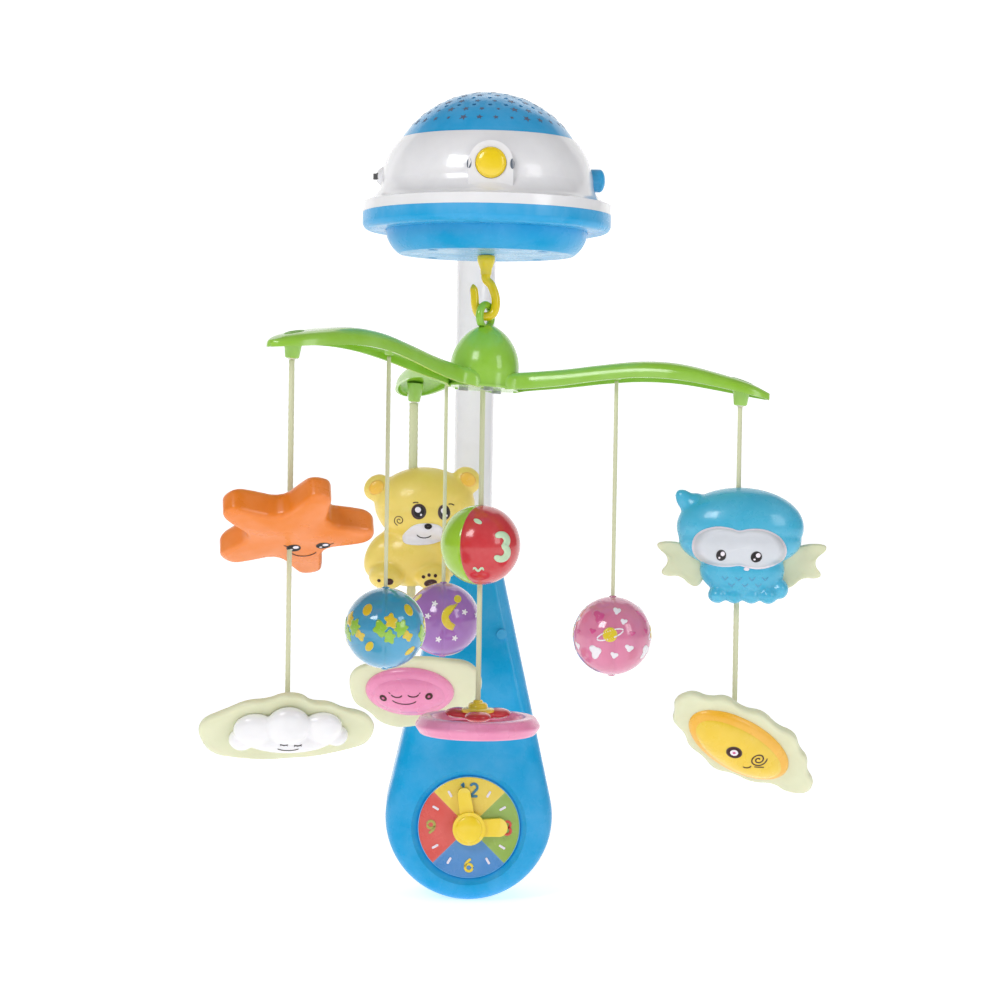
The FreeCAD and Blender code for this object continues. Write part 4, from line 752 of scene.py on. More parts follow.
def make_arm(name, tip_joint, mid_joint):
    """One leaf-shaped arm with its two cord posts and the dimple over the outer one, darkened with
    painted shade.
    """
    stops = [ARM_ROOT + (ARM_LENGTH - ARM_ROOT) * i / 90 for i in range(91)][:-6]
    stops += [ARM_LENGTH - ARM_TIP_ROUND * (1 - math.sin(math.pi / 2 * i / 14)) for i in range(15)]
    verts, faces = loft([arm_ring(tip_joint, reach) for reach in sorted(set(stops))])
    low = (joint_point(tip_joint) - TIP_MIDDLE).dot(HUB_AXIS) + TIP_TOP + POST_GAP
    mid = joint_point(mid_joint) - TIP_MIDDLE
    mid_height = mid.dot(HUB_AXIS)
    reach = math.sqrt(max(mid.length_squared - mid_height ** 2, 0))
    mid_low = mid_height + TIP_TOP + POST_GAP
    tip_post = post(tip_joint, TIP_REACH, low, through(ARM_TOP, TIP_REACH) - 3, 4.6, 6.4)
    mid_post = post(tip_joint, reach, mid_low, through(ARM_TOP, reach) - 3, 3.2, 4.2)
    arm = add_piece(name + "_leaf", *joined((verts, faces), tip_post, mid_post), GREEN, ARM_BODY,
                    slot="green_plastic")
    sharpen(arm, 50)
    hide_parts(name)
    # the dimple's hollow is real; its darker green colour is painted shade
    dimple = []
    for radius, lift in ((6.2, -0.1), (5.8, 0.45), (4.9, 0.5), (4.3, -0.6), (2.2, -0.9), (0.2, -0.9)):
        dimple.append([arm_place(tip_joint, TIP_REACH + radius * 1.25 * math.cos(a),
                                 through(ARM_TOP, TIP_REACH + radius * 1.25 * math.cos(a)) + lift,
                                 radius * 0.8 * math.sin(a))
                       for a in turns(36)])
    add_piece(name + "_dimple_painted_shade", *loft(dimple), GREEN_PAINTED_SHADE, ARM_BODY, slot="green_plastic")
    plug = post(tip_joint, TIP_REACH, low - 0.75, low + 0.4, 2.6, 3.2)
    add_piece(name + "_plug", *plug, CREAM, ARM_BODY, slot="glow_cream")


def make_hook():
    """The snap hook: a bell below the tray, then one bent wire that thickens at its turns."""
    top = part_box("projector_tray")[0].z / MM
    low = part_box("hook")[0].z / MM
    axis = joint_point("hook_spin")
    wire = 2.75
    lift = low + wire
    corners = [(0, top - 12), (0.3, top - 17), (4.6, lift + 21.5), (7.8, lift + 14), (8.1, lift + 7),
               (5.6, lift + 1.7), (0, lift), (-5.6, lift + 1.9), (-8.2, lift + 7.5),
               (-9.0, lift + 15), (-10.4, lift + 22.5)]
    path = smooth_path([(x * HOOK_SQUEEZE, 0, z) for x, z in corners], 90)
    radii = [wire + 0.9 * math.exp(-i / 9) + 0.35 * math.sin(math.pi * i / 90) for i in range(91)]
    for i in range(5):
        radii[90 - i] *= math.sin(math.pi / 2 * (i + 0.6) / 5.6)
    bell = [(0.1, top + 1), (4.0, top + 1), (4.1, top - 0.4), (5.9, top - 0.5), (6.3, top - 1.5),
            (6.2, top - 4), (5.2, top - 7), (4.1, top - 10), (3.8, top - 13.5), (0.1, top - 14)]
    verts, faces = joined(tube(path, radii), lathe(bell, 64))
    piece = add_piece("snap_hook", moved(verts, (axis.x, axis.y, 0)), faces, YELLOW, "hanger",
                      slot="yellow_plastic")
    sharpen(piece, 45)
    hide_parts("hook")


def make_arms():
    """The three arms, each named by its outer and inner cord."""
    make_arm("arm_right", "owl_swing", "pink_ball_swing")
    make_arm("arm_back", "bear_swing", "purple_ball_swing")
    make_arm("arm_left", "star_swing", "blue_ball_swing")


# ---------------------------------------------------------------- star and cloud

def star_outline(radius, tip, waist, roll, count=240):
    """A blunt five-armed star with softly rounded arms and notches."""
    corners = []
    for arm in range(5):
        turn = math.radians(90 - roll + 72 * arm)
        for swing, reach in ((-tip / radius * 1.0, radius * 0.86), (-tip / radius * 0.55, radius),
                             (tip / radius * 0.55, radius), (tip / radius * 1.0, radius * 0.86)):
            corners.append((reach * math.cos(turn + swing), reach * math.sin(turn + swing)))
        notch = turn + math.radians(36)
        corners.append((waist * math.cos(notch), waist * math.sin(notch)))
    return smooth_loop(corners, count, rounds=2)


def puffed(outline, front, back, edge, rings=12, crown=0.35):
    """A thick form with rounded rims: a near-flat front that swells a little to its middle."""
    inner = 0.86
    layers = [(i / rings * inner, -front * (1 + crown * (1 - (i / rings) ** 2)))
              for i in range(1, rings + 1)]
    for i in range(1, rings + 1):
        turn = math.pi / 2 * i / rings
        layers.append((inner + edge * math.sin(turn), -front + front * 0.55 * (1 - math.cos(turn))))
    for i in range(rings + 1):
        turn = math.pi / 2 * i / rings
        layers.append((inner + edge * math.cos(turn), back - back * 0.55 * (1 - math.sin(turn))))
    layers.append((0.5, back * 1.08))
    return stack(outline, layers, -front * (1 + crown), back * 1.1)


def eye(face, name, centre, half_x, half_z, roll=0, lift=0.25):
    """A round painted eye with two highlights."""
    face.oval(name, INK, centre, half_x, half_z, roll, lift)
    spark = (centre[0] + half_x * 0.3, centre[1] + half_z * 0.32)
    face.oval(name + "_light", EYE_LIGHT, spark, half_x * 0.42, half_z * 0.4, roll, lift + 0.12)
    low = (centre[0] - half_x * 0.3, centre[1] - half_z * 0.42)
    face.oval(name + "_glint", EYE_LIGHT, low, half_x * 0.2, half_z * 0.18, roll, lift + 0.12)


def make_star():
    """The puffed orange star and its printed face."""
    matrix = toy_matrix(toy_centre("star_swing", "star") + STAR_ASKEW, 8, 58)
    verts, faces = puffed(star_outline(53, 10.5, 25, 17), 8.2, 10.5, 0.14, crown=0.16)
    star = add_piece("star_puffed", verts, faces, ORANGE, "star_drop", matrix, "orange_plastic")
    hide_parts("star")
    face = Surface(verts, faces, matrix, "star_drop", "star")
    for side, at in ((-1, (1.8, -10.0)), (1, (20.6, -7.6))):
        eye(face, "eye_%s" % ("left" if side < 0 else "right"), at, 4.6, 4.4, roll=-8)
        lash = [(at[0] + side * 3.6, at[1] + 1.6), (at[0] + side * 6.6, at[1] + 3.4)]
        face.stroke("lash_%d" % side, dense(lash), 0.8, BROWN)
    face.stroke("smile", curve_points((9.0, -14.0), 8.8, 200, 336, 0.8), 0.9, BROWN)


def make_cloud():
    """The cloud of soft lobes on its wavy plate."""
    matrix = toy_matrix(toy_centre("cloud_swing", "cloud_backing"), 8, 40)
    outline = smooth_loop([
        (-56, 4), (-57, -10), (-48, -27), (-30, -31), (-12, -33), (4, -31), (20, -30), (40, -24),
        (54, -18), (58, -2), (50, 10), (36, 13), (26, 20), (14, 20), (8, 27), (-4, 28), (-14, 22),
        (-28, 21), (-40, 13)], 180, 2)
    plate = backing_plate(outline)
    piece = add_piece("cloud_plate", *plate, CREAM, "cloud_drop", matrix, "glow_cream")
    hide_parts("cloud_backing")
    add_cone("cloud_cone", "cloud_swing", "cloud_drop")
    lobes = [ball_part((0, -7, 5), (14.5, 9, 15.5)), ball_part((-21, -6, 1), (14, 8, 12.5)),
             ball_part((22, -6, 2.5), (13, 8, 12)), ball_part((-29, -5, -9), (8.5, 7, 8)),
             ball_part((32, -5, -6), (7.5, 6.5, 7.5)), ball_part((1, -6, -8), (29, 8, 10.5))]
    verts, faces = blob(lobes, 1.0, 5)
    puff = add_piece("cloud_puff", verts, faces, WHITE, "cloud_drop", matrix, "white_plastic")
    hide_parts("cloud_face")
    face = Surface(verts, faces, matrix, "cloud_drop", "cloud")
    for name, at in (("left", (-2.5, -4.2)), ("right", (6.5, -5.0))):
        face.stroke("lid_" + name, curve_points(at, 2.6, 200, 345, 0.5), 0.75, INK)
        for k in (-1, 0, 1):
            start = (at[0] + 1.9 * k, at[1] - 1.1)
            face.stroke("lash_%s_%d" % (name, k + 1), dense([start, (start[0] + 0.5 * k,
                        start[1] - 1.1)]), 0.45, INK)
    face.stroke("smile", curve_points((0.5, -7.5), 7.6, 205, 332, 0.42), 0.75, INK)


def backing_plate(outline, front=3.0, back=3.0):
    """A wavy translucent plate with a rounded rim and a slightly dished front."""
    layers = [(0.35, -front + 0.6), (0.72, -front + 0.5), (0.9, -front), (0.96, -front + 0.25),
              (0.99, -front * 0.6), (1.0, 0.0), (0.99, back * 0.6), (0.96, back - 0.25),
              (0.9, back), (0.5, back)]
    return stack(outline, layers, -front + 0.6, back)


def add_cone(name, joint, body, height=7.5):
    """The soft cone in which a lower toy's plate rises to its cord."""
    top = joint_point(joint)
    profile = [(0.2, 0.0), (2.3, -0.1), (2.9, -1.2), (3.4, -3), (4.6, -height * 0.6), (8.2, -height),
               (10.5, -height - 3.0), (0.2, -height - 3.0)]
    verts, faces = lathe(profile, 48)
    add_piece(name, moved(verts, top), faces, CREAM, body, slot="glow_cream")


# ---------------------------------------------------------------- bear and flower

def make_bear():
    """The sitting bear and its printed marks."""
    matrix = toy_matrix(toy_centre("bear_swing", "bear"), 0, 4)
    tip_left = Matrix.Rotation(math.radians(-38), 3, "Y")
    tip_right = Matrix.Rotation(math.radians(34), 3, "Y")
    arm_left = Matrix.Rotation(math.radians(24), 3, "Y")
    arm_right = Matrix.Rotation(math.radians(-24), 3, "Y")
    parts = [ball_part((9.5, 0, 17.5), (39, 26, 29)), ball_part((9.5, -3, 10), (36, 25, 21)),
             ball_part((-1, 1, -22), (31, 23, 25)),
             ball_part((-24, -3, -22), (11.5, 13, 19), arm_left),
             ball_part((22, -3, -22), (11.5, 13, 19), arm_right),
             ball_part((-19, -15, -37), (14, 14, 10.5)), ball_part((16.5, -15, -37), (14, 14, 10.5)),
             ball_part((-27, 0, 30), (11.5, 8.5, 10), tip_left),
             ball_part((42, 0, 37), (11.5, 8.5, 10), tip_right)]
    verts, faces = blob(parts, 1.3, 10)
    bear = add_piece("bear_figure", verts, faces, BEAR, "bear_drop", matrix, "bear_plastic")
    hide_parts("bear")
    face = Surface(verts, faces, matrix, "bear_drop", "bear")
    patch = smooth_loop([(-14, 1), (-8, 6.8), (2, 8.2), (12, 6.6), (16.5, 0), (13, -9.5),
                         (-15, -10.5), (-17.5, -4)], 72, 2)
    face.spot("muzzle", patch, MUZZLE, (9.5, -2), lift=0.35)
    for name, at, half_x, tilt in (("left", (5.0, 14.6), 5.7, 6), ("right", (24.3, 14.0), 4.7, -8)):
        face.oval("eye_rim_" + name, BROWN, at, half_x, 5.9, tilt, 0.22)
        face.oval("eye_" + name, INK, (at[0] + 0.3, at[1] - 0.2), half_x * 0.78, 4.7, tilt, 0.34)
        face.oval("eye_light_" + name, EYE_LIGHT, (at[0] - 0.6, at[1] + 1.3), half_x * 0.4, 2.1,
                  tilt, 0.46)
        face.oval("eye_glint_" + name, EYE_LIGHT, (at[0] + 1.8, at[1] - 2.4), 0.8, 0.9, tilt, 0.46)
    face.stroke("brow_left", curve_points((3.0, 19.5), 3.4, 60, 140, 0.6), 0.8, BROWN)
    face.stroke("brow_right", curve_points((29.0, 18.0), 3.4, 30, 115, 0.7), 0.8, BROWN)
    swirl = [(-9.8 + (0.5 + 0.34 * t) * math.cos(t), 7.2 + (0.5 + 0.34 * t) * math.sin(t))
             for t in (0.25 * i for i in range(44))]
    face.stroke("cheek_swirl", swirl, 0.55, BROWN)
    face.oval("nose", INK, (12.3, 3.6), 2.9, 2.2, 0, 0.9)
    face.stroke("smile", curve_points((9.4, -1.5), 6.2, 205, 330, 0.75), 0.75, INK, lift=0.55)
    face.oval("foot_pad_left", BROWN, (-17.0, -39.5), 3.4, 2.6, 0, 0.25)
    face.oval("toe_left", BROWN, (-24.6, -38.8), 1.3, 1.2, 0, 0.25)
    face.oval("foot_pad_right", BROWN, (14.8, -40.2), 5.0, 3.0, -12, 0.25)
    for k, at in enumerate(((9.4, -35.6), (13.6, -34.0), (18.4, -34.4))):
        face.oval("toe_right_%d" % k, BROWN, at, 1.3, 1.3, 0, 0.25)
    for name, at, tilt in (("left", (-27.8, 30.8), -38), ("right", (42.6, 38.0), 34)):
        face.oval("ear_inner_" + name, EAR_ORANGE, at, 6.4, 5.0, tilt, 0.35)


def make_flower():
    """The oval sleeping face with a stepped rim, on its wavy plate."""
    matrix = toy_matrix(toy_centre("flower_swing", "flower_backing"), -6, 34)
    outline = smooth_loop([
        (-47, 2), (-46, 18), (-36, 27), (-20, 28), (-6, 34), (12, 36), (30, 34), (46, 33), (56, 22),
        (57, 6), (50, -8), (40, -18), (24, -26), (6, -33), (-12, -36), (-26, -30), (-32, -20),
        (-44, -12)], 180, 2)
    piece = add_piece("flower_plate", *backing_plate(outline), CREAM, "flower_drop", matrix,
                      "glow_cream")
    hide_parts("flower_backing")
    add_cone("flower_cone", "flower_swing", "flower_drop")
    rim = pillow(polar(lambda a: 34.5 / math.hypot(math.cos(a), 34.5 / 23.5 * math.sin(a))), 8.2, 2,
                 3.2, 4)
    dome = pillow(polar(lambda a: 30.5 / math.hypot(math.cos(a), 30.5 / 19.8 * math.sin(a))), 13.2,
                  2, 2.2, 4)
    shift = (0.5, -2.6, 3.5)
    add_piece("flower_rim", moved(rim[0], shift), rim[1], PINK, "flower_drop", matrix,
              "pink_plastic")
    verts = moved(dome[0], shift)
    dome_piece = add_piece("flower_dome", verts, dome[1], PINK, "flower_drop", matrix,
                           "pink_plastic")
    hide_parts("flower_face")
    face = Surface(verts, dome[1], matrix, "flower_drop", "flower")
    for name, at in (("left", (-8.4, 10.0)), ("right", (4.6, 11.0))):
        face.stroke("lid_" + name, curve_points(at, 4.4, 200, 348, 0.62), 0.95, BROWN)
        tip = (at[0] + (4.6 if name == "right" else -4.6), at[1] - 0.4)
        face.stroke("lash_" + name, dense([tip, (tip[0] * 1.12, tip[1] + 1.2)]), 0.7, BROWN)
    for name, at in (("left", (-19.0, 4.4)), ("right", (16.6, 7.8))):
        face.oval("cheek_" + name, BROWN, at, 2.9, 2.9, 0, 0.22)
        face.oval("cheek_light_" + name, PRINT_MAGENTA, at, 1.1, 1.0, 0, 0.32)
    face.stroke("smile", curve_points((-2.6, 6.0), 10.0, 202, 340, 0.5), 0.85, BROWN)


# ---------------------------------------------------------------- owl and sun

def make_owl():
    """The owl with a scalloped hem, a white face plate and two wings."""
    matrix = toy_matrix(toy_centre("owl_swing", "owl_body") + OWL_ASKEW, -4, 6)
    tuft_turn = Matrix.Rotation(math.radians(-42), 3, "Y")
    parts = [ball_part((-2, 0, 12.5), (43.5, 25, 27)), ball_part((-2, -2, 4), (42, 24, 20)),
             ball_part((0, 0, -17), (29, 20, 19)),
             ball_part((-37.5, 0, 28), (6.5, 5.5, 12), tuft_turn),
             ball_part((-32, 0, 25), (10, 8, 11), tuft_turn)]
    for k in range(4):
        parts.append(ball_part((-17 + 11.5 * k, -9, -33), (6.6, 8, 6)))
    parts.append(ball_part((25.5, -6, -29), (6, 8, 7)))
    verts, faces = blob(parts, 1.2, 8)
    owl = add_piece("owl_figure", verts, faces, OWL, "owl_drop", matrix, "owl_plastic")
    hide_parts("owl_body")
    face = Surface(verts, faces, matrix, "owl_drop", "owl")
    plate = smooth_loop([(-31, -1), (-28, 8.5), (-17, 13.5), (-6, 12.8), (-1, 10.6), (6, 12.6),
                         (17, 12), (27, 6.5), (31.5, -3), (27, -11.5), (14, -14.5), (4, -13),
                         (0, -11.6), (-6, -13.2), (-18, -12.8), (-27, -9)], 110, 2)
    edge = [(x * 1.05, z * 1.08) for x, z in plate]
    face.spot("face_rim", edge, EYE_LIGHT, (-3.5, 1.6), lift=0.45)
    face.spot("face_plate", plate, OWL_FACE, (-3.5, 1.6), lift=0.75)
    eye(face, "eye_left", (-15.8, -3.4), 3.3, 3.9, lift=0.95)
    eye(face, "eye_right", (7.6, -4.0), 3.8, 3.9, lift=0.95)
    face.oval("beak", EYE_LIGHT, (1.6, -13.4), 1.8, 1.2, 0, 0.9)
    for row, (count, height) in enumerate(((4, -20.5), (3, -25))):
        for k in range(count):
            middle = 1.0 + (k - (count - 1) / 2) * 9
            mark = [(middle - 2.2, height + 1.4), (middle, height - 1.0), (middle + 2.2, height + 1.4)]
            face.stroke("feather_%d_%d" % (row, k), dense(mark), 0.8, BALL_BLUE)
    left = [(-31, -4), (-44, 1.6), (-58, 1.2), (-58.5, -3), (-51.5, -8), (-50.5, -14), (-56, -20),
            (-52, -23), (-42, -22), (-34, -30), (-28, -29), (-24, -18)]
    for name, sign in (("left", 1), ("right", -1)):
        outline = smooth_loop([(sign * x * (1.0 if sign > 0 else 0.985), z) for x, z in left], 90, 2)
        middle = (sign * -42, -12)
        plate_mesh = backing_plate([(x - middle[0], z - middle[1]) for x, z in outline], 2.6, 2.4)
        wing = add_piece("owl_wing_" + name, moved(plate_mesh[0], (middle[0], 2.5, middle[1])),
                         plate_mesh[1], CREAM, "owl_drop", matrix, "glow_cream")
        if sign > 0:
            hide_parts("owl_wings")


def make_sun():
    """The oval winking face on a frilled plate, tilted down to the right."""
    centre = toy_centre("sun_swing", "sun_backing") + SUN_ASKEW
    matrix = toy_matrix(centre, -8, 38)
    slope = Matrix.Rotation(math.radians(-42), 2)

    def sloped(points):
        return [tuple(slope @ Vector(p)) for p in points]

    outline = smooth_loop(sloped([
        (-60, -2), (-56, 12), (-44, 14), (-36, 25), (-20, 23), (-8, 31), (8, 27), (22, 31),
        (34, 22), (44, 20), (52, 10), (64, 6), (68, -6), (56, -14), (44, -13), (32, -24), (16, -26),
        (4, -33), (-10, -28), (-24, -28), (-34, -20), (-48, -18), (-52, -10)]), 200, 2)
    piece = add_piece("sun_plate", *backing_plate(outline, 4, 3), CREAM, "sun_drop", matrix,
                      "glow_cream")
    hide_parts("sun_backing")
    add_cone("sun_cone", "sun_swing", "sun_drop")

    def oval(half_long, half_short):
        return sloped(polar(lambda a: half_long
                            / math.hypot(math.cos(a), half_long / half_short * math.sin(a))))

    shift = (-1.5, -3.2, -1.0)
    rim = pillow(oval(41.5, 22.4), 8.5, 2, 3.0, 4)
    dome = pillow(oval(38.8, 19.6), 12.6, 2, 2.3, 4)
    add_piece("sun_rim", moved(rim[0], shift), rim[1], SUN_RIM, "sun_drop", matrix, "sun_plastic")
    verts = moved(dome[0], shift)
    dome_piece = add_piece("sun_dome", verts, dome[1], SUN, "sun_drop", matrix, "sun_plastic")
    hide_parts("sun_face")
    face = Surface(verts, dome[1], matrix, "sun_drop", "sun")
    at = (-4.6, 3.6)
    face.oval("eye_left", BROWN, at, 5.6, 5.0, 34, 0.25)
    face.oval("eye_left_ring", EYE_LIGHT, at, 2.8, 2.6, 34, 0.38)
    face.oval("eye_left_dot", PRINT_MAGENTA, at, 1.1, 1.0, 34, 0.48)
    middle = (12.0, -3.8)
    swirl = [(middle[0] + (0.6 + 0.42 * t) * math.cos(t), middle[1] + (0.6 + 0.42 * t) * math.sin(t))
             for t in (0.22 * i for i in range(58))]
    face.stroke("eye_right_swirl", swirl, 0.9, BROWN)
    face.stroke("eye_right_line", dense([(9.0, -10.2), (16.0, -11.4)]), 0.8, BROWN)
    face.stroke("smile", curve_points((4.0, -8.6), 3.0, 215, 350, 0.9), 0.9, BROWN)


# ---------------------------------------------------------------- balls

def seamed_ball(radius):
    """A moulded ball with a fine groove along its seam."""
    profile = []
    for step in range(97):
        turn = math.pi * (step / 96 - 0.5)
        groove = 0.35 * math.exp(-((turn * radius) / 0.45) ** 2)
        profile.append(((radius - groove) * math.cos(turn) + 0.02, (radius - groove) * math.sin(turn)))
    verts, faces = lathe(profile, 128, close=False)
    base = len(verts)
    count = len(profile)
    verts += [(0, 0, -radius), (0, 0, radius)]
    for step in range(128):
        after = (step + 1) % 128
        faces.append((base, after * count, step * count))
        faces.append((base + 1, step * count + count - 1, after * count + count - 1))
    verts = [(z, y, x) for x, y, z in verts]
    faces = [tuple(reversed(f)) for f in faces]
    return verts, faces


def facing_turn(right, up):
    """Rotation that brings the front of a ball to a direction, in degrees."""
    return Matrix.Rotation(math.radians(right), 3, "Z") @ Matrix.Rotation(math.radians(-up), 3, "X")


def ball_with_prints(color, material, prints):
    """A seamed ball with its prints and the two plugs of its cord."""
    node = color + "_ball"
    centre = joint_point(color + "_ball_swing")
    centre.z = middle_height(node)
    low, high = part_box(node)
    radius = (high.z - low.z) / 2 / MM
    matrix = toy_matrix(centre)
    verts, faces = seamed_ball(radius)
    piece = add_piece(node + "_shell", verts, faces, material, color + "_drop", matrix,
                      color + "_ball_plastic")
    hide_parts(node)
    skin = Surface(verts, faces, matrix, color + "_drop", node)
    prints(skin)
    plug = lathe([(0.2, 1.0), (2.0, 1.0), (2.6, 0.4), (2.8, -0.6), (0.2, -0.6)], 32)
    for side, flip in (("top", 1), ("bottom", -1)):
        turned_plug = [Vector((x, y, flip * (z + radius - 0.3))) for x, y, z in plug[0]]
        add_piece("%s_plug_%s" % (node, side), moved(turned_plug, centre), plug[1], material,
                  color + "_drop")


def leaf(size, lobes=5, depth=0.2):
    """An irregular blot outline."""
    return polar(lambda a: size * (1 + depth * math.sin(lobes * a + 0.6)
                                   + 0.6 * depth * math.sin(2 * a + size)), 60)


def blue_prints(skin):
    """Leafy sprigs and small ovals scattered round the ball."""
    for k in range(5):
        turn = facing_turn(8 + 72 * k, 2 - 9 * (k % 2))
        for j, (u, v, size) in enumerate(((-6.5, 1.0, 4.6), (0.5, 6.0, 4.2), (7.4, 1.0, 4.8),
                                          (12.0, -4.0, 3.2), (-0.5, -4.4, 4.0))):
            skin.spot("sprig_%d_%d" % (k, j), leaf(size, 4 + j % 3), PRINT_GOLD if j % 2 else PRINT_LEAF,
                      (u, v), turn=turn)
        skin.oval("drop_low_%d" % k, PRINT_GOLD, (-13, -11), 2.4, 3.4, 20, turn=turn)
        skin.oval("drop_high_%d" % k, PRINT_GOLD, (13, 13), 2.6, 4.2, -30, turn=turn)


def purple_prints(skin):
    """Crescent moons, small suns and stars."""
    for k in range(4):
        turn = facing_turn(4 + 90 * k, 3)
        crescent = curve_points((6, 2), 9.4, 75, 265) + curve_points((9.8, 4.4), 8.0, 250, 95)
        skin.spot("moon_%d" % k, [(x - 0.6, z - 1.2) for x, z in crescent], PRINT_GOLD, (0.6, 1.2),
                  turn=turn)
        skin.oval("dot_%d" % k, PRINT_GOLD, (9, 15.5), 2.8, 2.8, turn=turn)
        for j, (u, v) in enumerate(((-8, 12), (-13, 3), (7, -13), (14, 6), (-5, -14))):
            star = polar(lambda a: 1.7 * (1 + 0.38 * math.cos(5 * a)), 40)
            skin.spot("star_%d_%d" % (k, j), star, PRINT_WHITE, (u, v), turn=turn)


def pink_prints(skin):
    """Ringed planets with dots and blots round them."""
    for k in range(4):
        turn = facing_turn(-8 + 90 * k, 2)
        skin.oval("planet_%d" % k, PRINT_GOLD, (0, 2), 5.0, 5.0, turn=turn)
        for j, squash in enumerate((1, -1)):
            ring = [(8.8 * math.cos(t), 2 + squash * 2.8 * math.sin(t) + 3.0 * math.cos(t))
                    for t in (math.pi * i / 18 for i in range(19))]
            skin.stroke("planet_ring_%d_%d" % (k, j), ring, 0.9, PRINT_WHITE, turn=turn)
        for j, (u, v, size) in enumerate(((-8, 14, 3.8), (9, 11, 1.9), (13, -7, 2.4), (-12, 4, 1.9),
                                          (3, -12, 2.2), (-10, -10, 4.0), (15, 3, 1.6), (4, 18, 2.2))):
            skin.spot("blot_%d_%d" % (k, j), leaf(size, 3, 0.22),
                      PRINT_WHITE if j % 3 else PRINT_MAGENTA, (u, v), turn=turn)


def make_balls():
    """The three single balls."""
    ball_with_prints("blue", BALL_BLUE, blue_prints)
    ball_with_prints("purple", BALL_PURPLE, purple_prints)
    ball_with_prints("pink", BALL_PINK, pink_prints)


def make_number_ball():
    """Two moulded halves on the middle cord, with a raised digit on the red one."""
    centre = joint_point("number_ball_spin")
    low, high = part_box("number_ball_right")
    radius = (high.z - low.z) / 2 / MM + 0.05
    yaw = -32
    matrix = toy_matrix(centre, yaw)
    whole = seamed_ball(radius)
    for name, sign, material, slot in (("right", 1, RED, "red_plastic"),
                                       ("left", -1, LIME, "lime_plastic")):
        kept = bmesh.new()
        mesh = bpy.data.meshes.new("half_work")
        mesh.from_pydata([tuple(v) for v in whole[0]], [], whole[1])
        kept.from_mesh(mesh)
        bpy.data.meshes.remove(mesh)
        bmesh.ops.remove_doubles(kept, verts=kept.verts, dist=0.001)
        geometry = kept.verts[:] + kept.edges[:] + kept.faces[:]
        bmesh.ops.bisect_plane(kept, geom=geometry, plane_co=(0.03 * sign, 0, 0),
                               plane_no=(sign, 0, 0), clear_inner=True)
        border = [e for e in kept.edges if e.is_boundary]
        bmesh.ops.contextual_create(kept, geom=border)
        kept.verts.index_update()
        verts = [v.co.copy() for v in kept.verts]
        faces = [tuple(v.index for v in f.verts) for f in kept.faces]
        kept.free()
        half = add_piece("number_half_" + name, verts, faces, material, "number_ball", matrix, slot)
        sharpen(half, 60)
        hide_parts("number_ball_" + name)
    skin = Surface(whole[0], whole[1], matrix, "number_ball", "number")
    front = facing_turn(33, 3)
    write_digit(skin, "digit", "3", (13, -1.0), 16.5, 4.4, MINT, lift=0.7, turn=front)
    skin.oval("dash_high", MINT, (-3, 16), 3.0, 1.5, 25, 0.4, turn=front)
    skin.stroke("squiggle", [(-6 + 0.7 * i, -17 + 1.1 * math.sin(0.9 * i)) for i in range(12)], 1.3,
                MINT, lift=0.4, turn=front)
    back = facing_turn(205, 0)
    write_digit(skin, "digit_back", "2", (0, 0), 16.5, 4.4, MINT, lift=0.7, turn=back)
    skin.oval("dash_back", MINT, (-4, 17), 3.0, 1.5, 25, 0.4, turn=back)


# ---------------------------------------------------------------- ring and spinner

def make_ring():
    """The pink ring with moulded ridges and its crossbar."""
    centre = joint_point("ring_spin")
    low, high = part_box("ring")
    outer = (high.x - low.x) / 2 / MM
    section = (high.z - low.z) / 2 / MM
    major = outer - section
    profile = []
    for step in range(72):
        turn = 2 * math.pi * step / 72
        ridge = 0.32 * math.cos(6 * turn)
        profile.append((major + (section - 0.35 + ridge) * math.cos(turn),
                        (section - 0.35 + ridge) * 0.92 * math.sin(turn)))
    band = lathe(profile, 160)
    bar_rings = []
    for step in range(41):
        x = (major - 2) * (2 * step / 40 - 1)
        half = 3.6 + 1.4 * abs(x / major) ** 3
        bar_rings.append([(x, half * math.cos(a), 1 + 2.3 * math.sin(a))
                          for a in turns(24)])
    verts, faces = joined(band, loft(bar_rings))
    ring = add_piece("ring_ridged", moved(verts, centre), faces, PINK, "ring_body",
                     slot="pink_plastic")
    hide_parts("ring")


def make_spinner():
    """The red three-lobed spinner and its stepped yellow cap."""
    centre = joint_point("ring_spin")
    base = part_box("ring_spinner")[0].z / MM - centre.z
    parts = [ball_part((0, 0, base + 3.6), (9.5, 9.5, 3.5))]
    for k in range(3):
        turn = 0.5 + 2 * math.pi * k / 3
        parts.append(ball_part((16 * math.cos(turn), 16 * math.sin(turn), base + 3.9), (9.4, 9.4, 3.9)))
        parts.append(ball_part((9 * math.cos(turn), 9 * math.sin(turn), base + 3.6), (7, 7, 3.4)))
    verts, faces = blob(parts, 0.8, 4)
    lobes = add_piece("spinner_lobes", moved(verts, centre), faces, RED, "spinner",
                      slot="red_plastic")
    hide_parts("ring_spinner")
    cap = [(0.1, base + 5.6), (11.2, base + 5.6), (11.6, base + 6.4), (11.4, base + 7.6),
           (10.2, base + 8.3), (7.4, base + 8.6), (6.9, base + 9.4), (6.6, base + 11),
           (5.4, base + 12), (3.6, base + 12.3), (3.2, base + 13.6), (2.4, base + 14.1),
           (0.1, base + 14.2)]
    cap_verts, cap_faces = lathe(cap, 72)
    cap_piece = add_piece("spinner_cap", moved(cap_verts, centre), cap_faces, YELLOW, "spinner",
                          slot="red_plastic")
    sharpen(cap_piece, 40)


# ---------------------------------------------------------------- dial

DIAL_THICK = 0.35
DIAL_SINK = 0.1
DIAL_HOLE = 5.4
DIAL_BEVEL = 0.25
DIGIT_HEIGHT = 10.5
DIGIT_WIDTH = 2.1


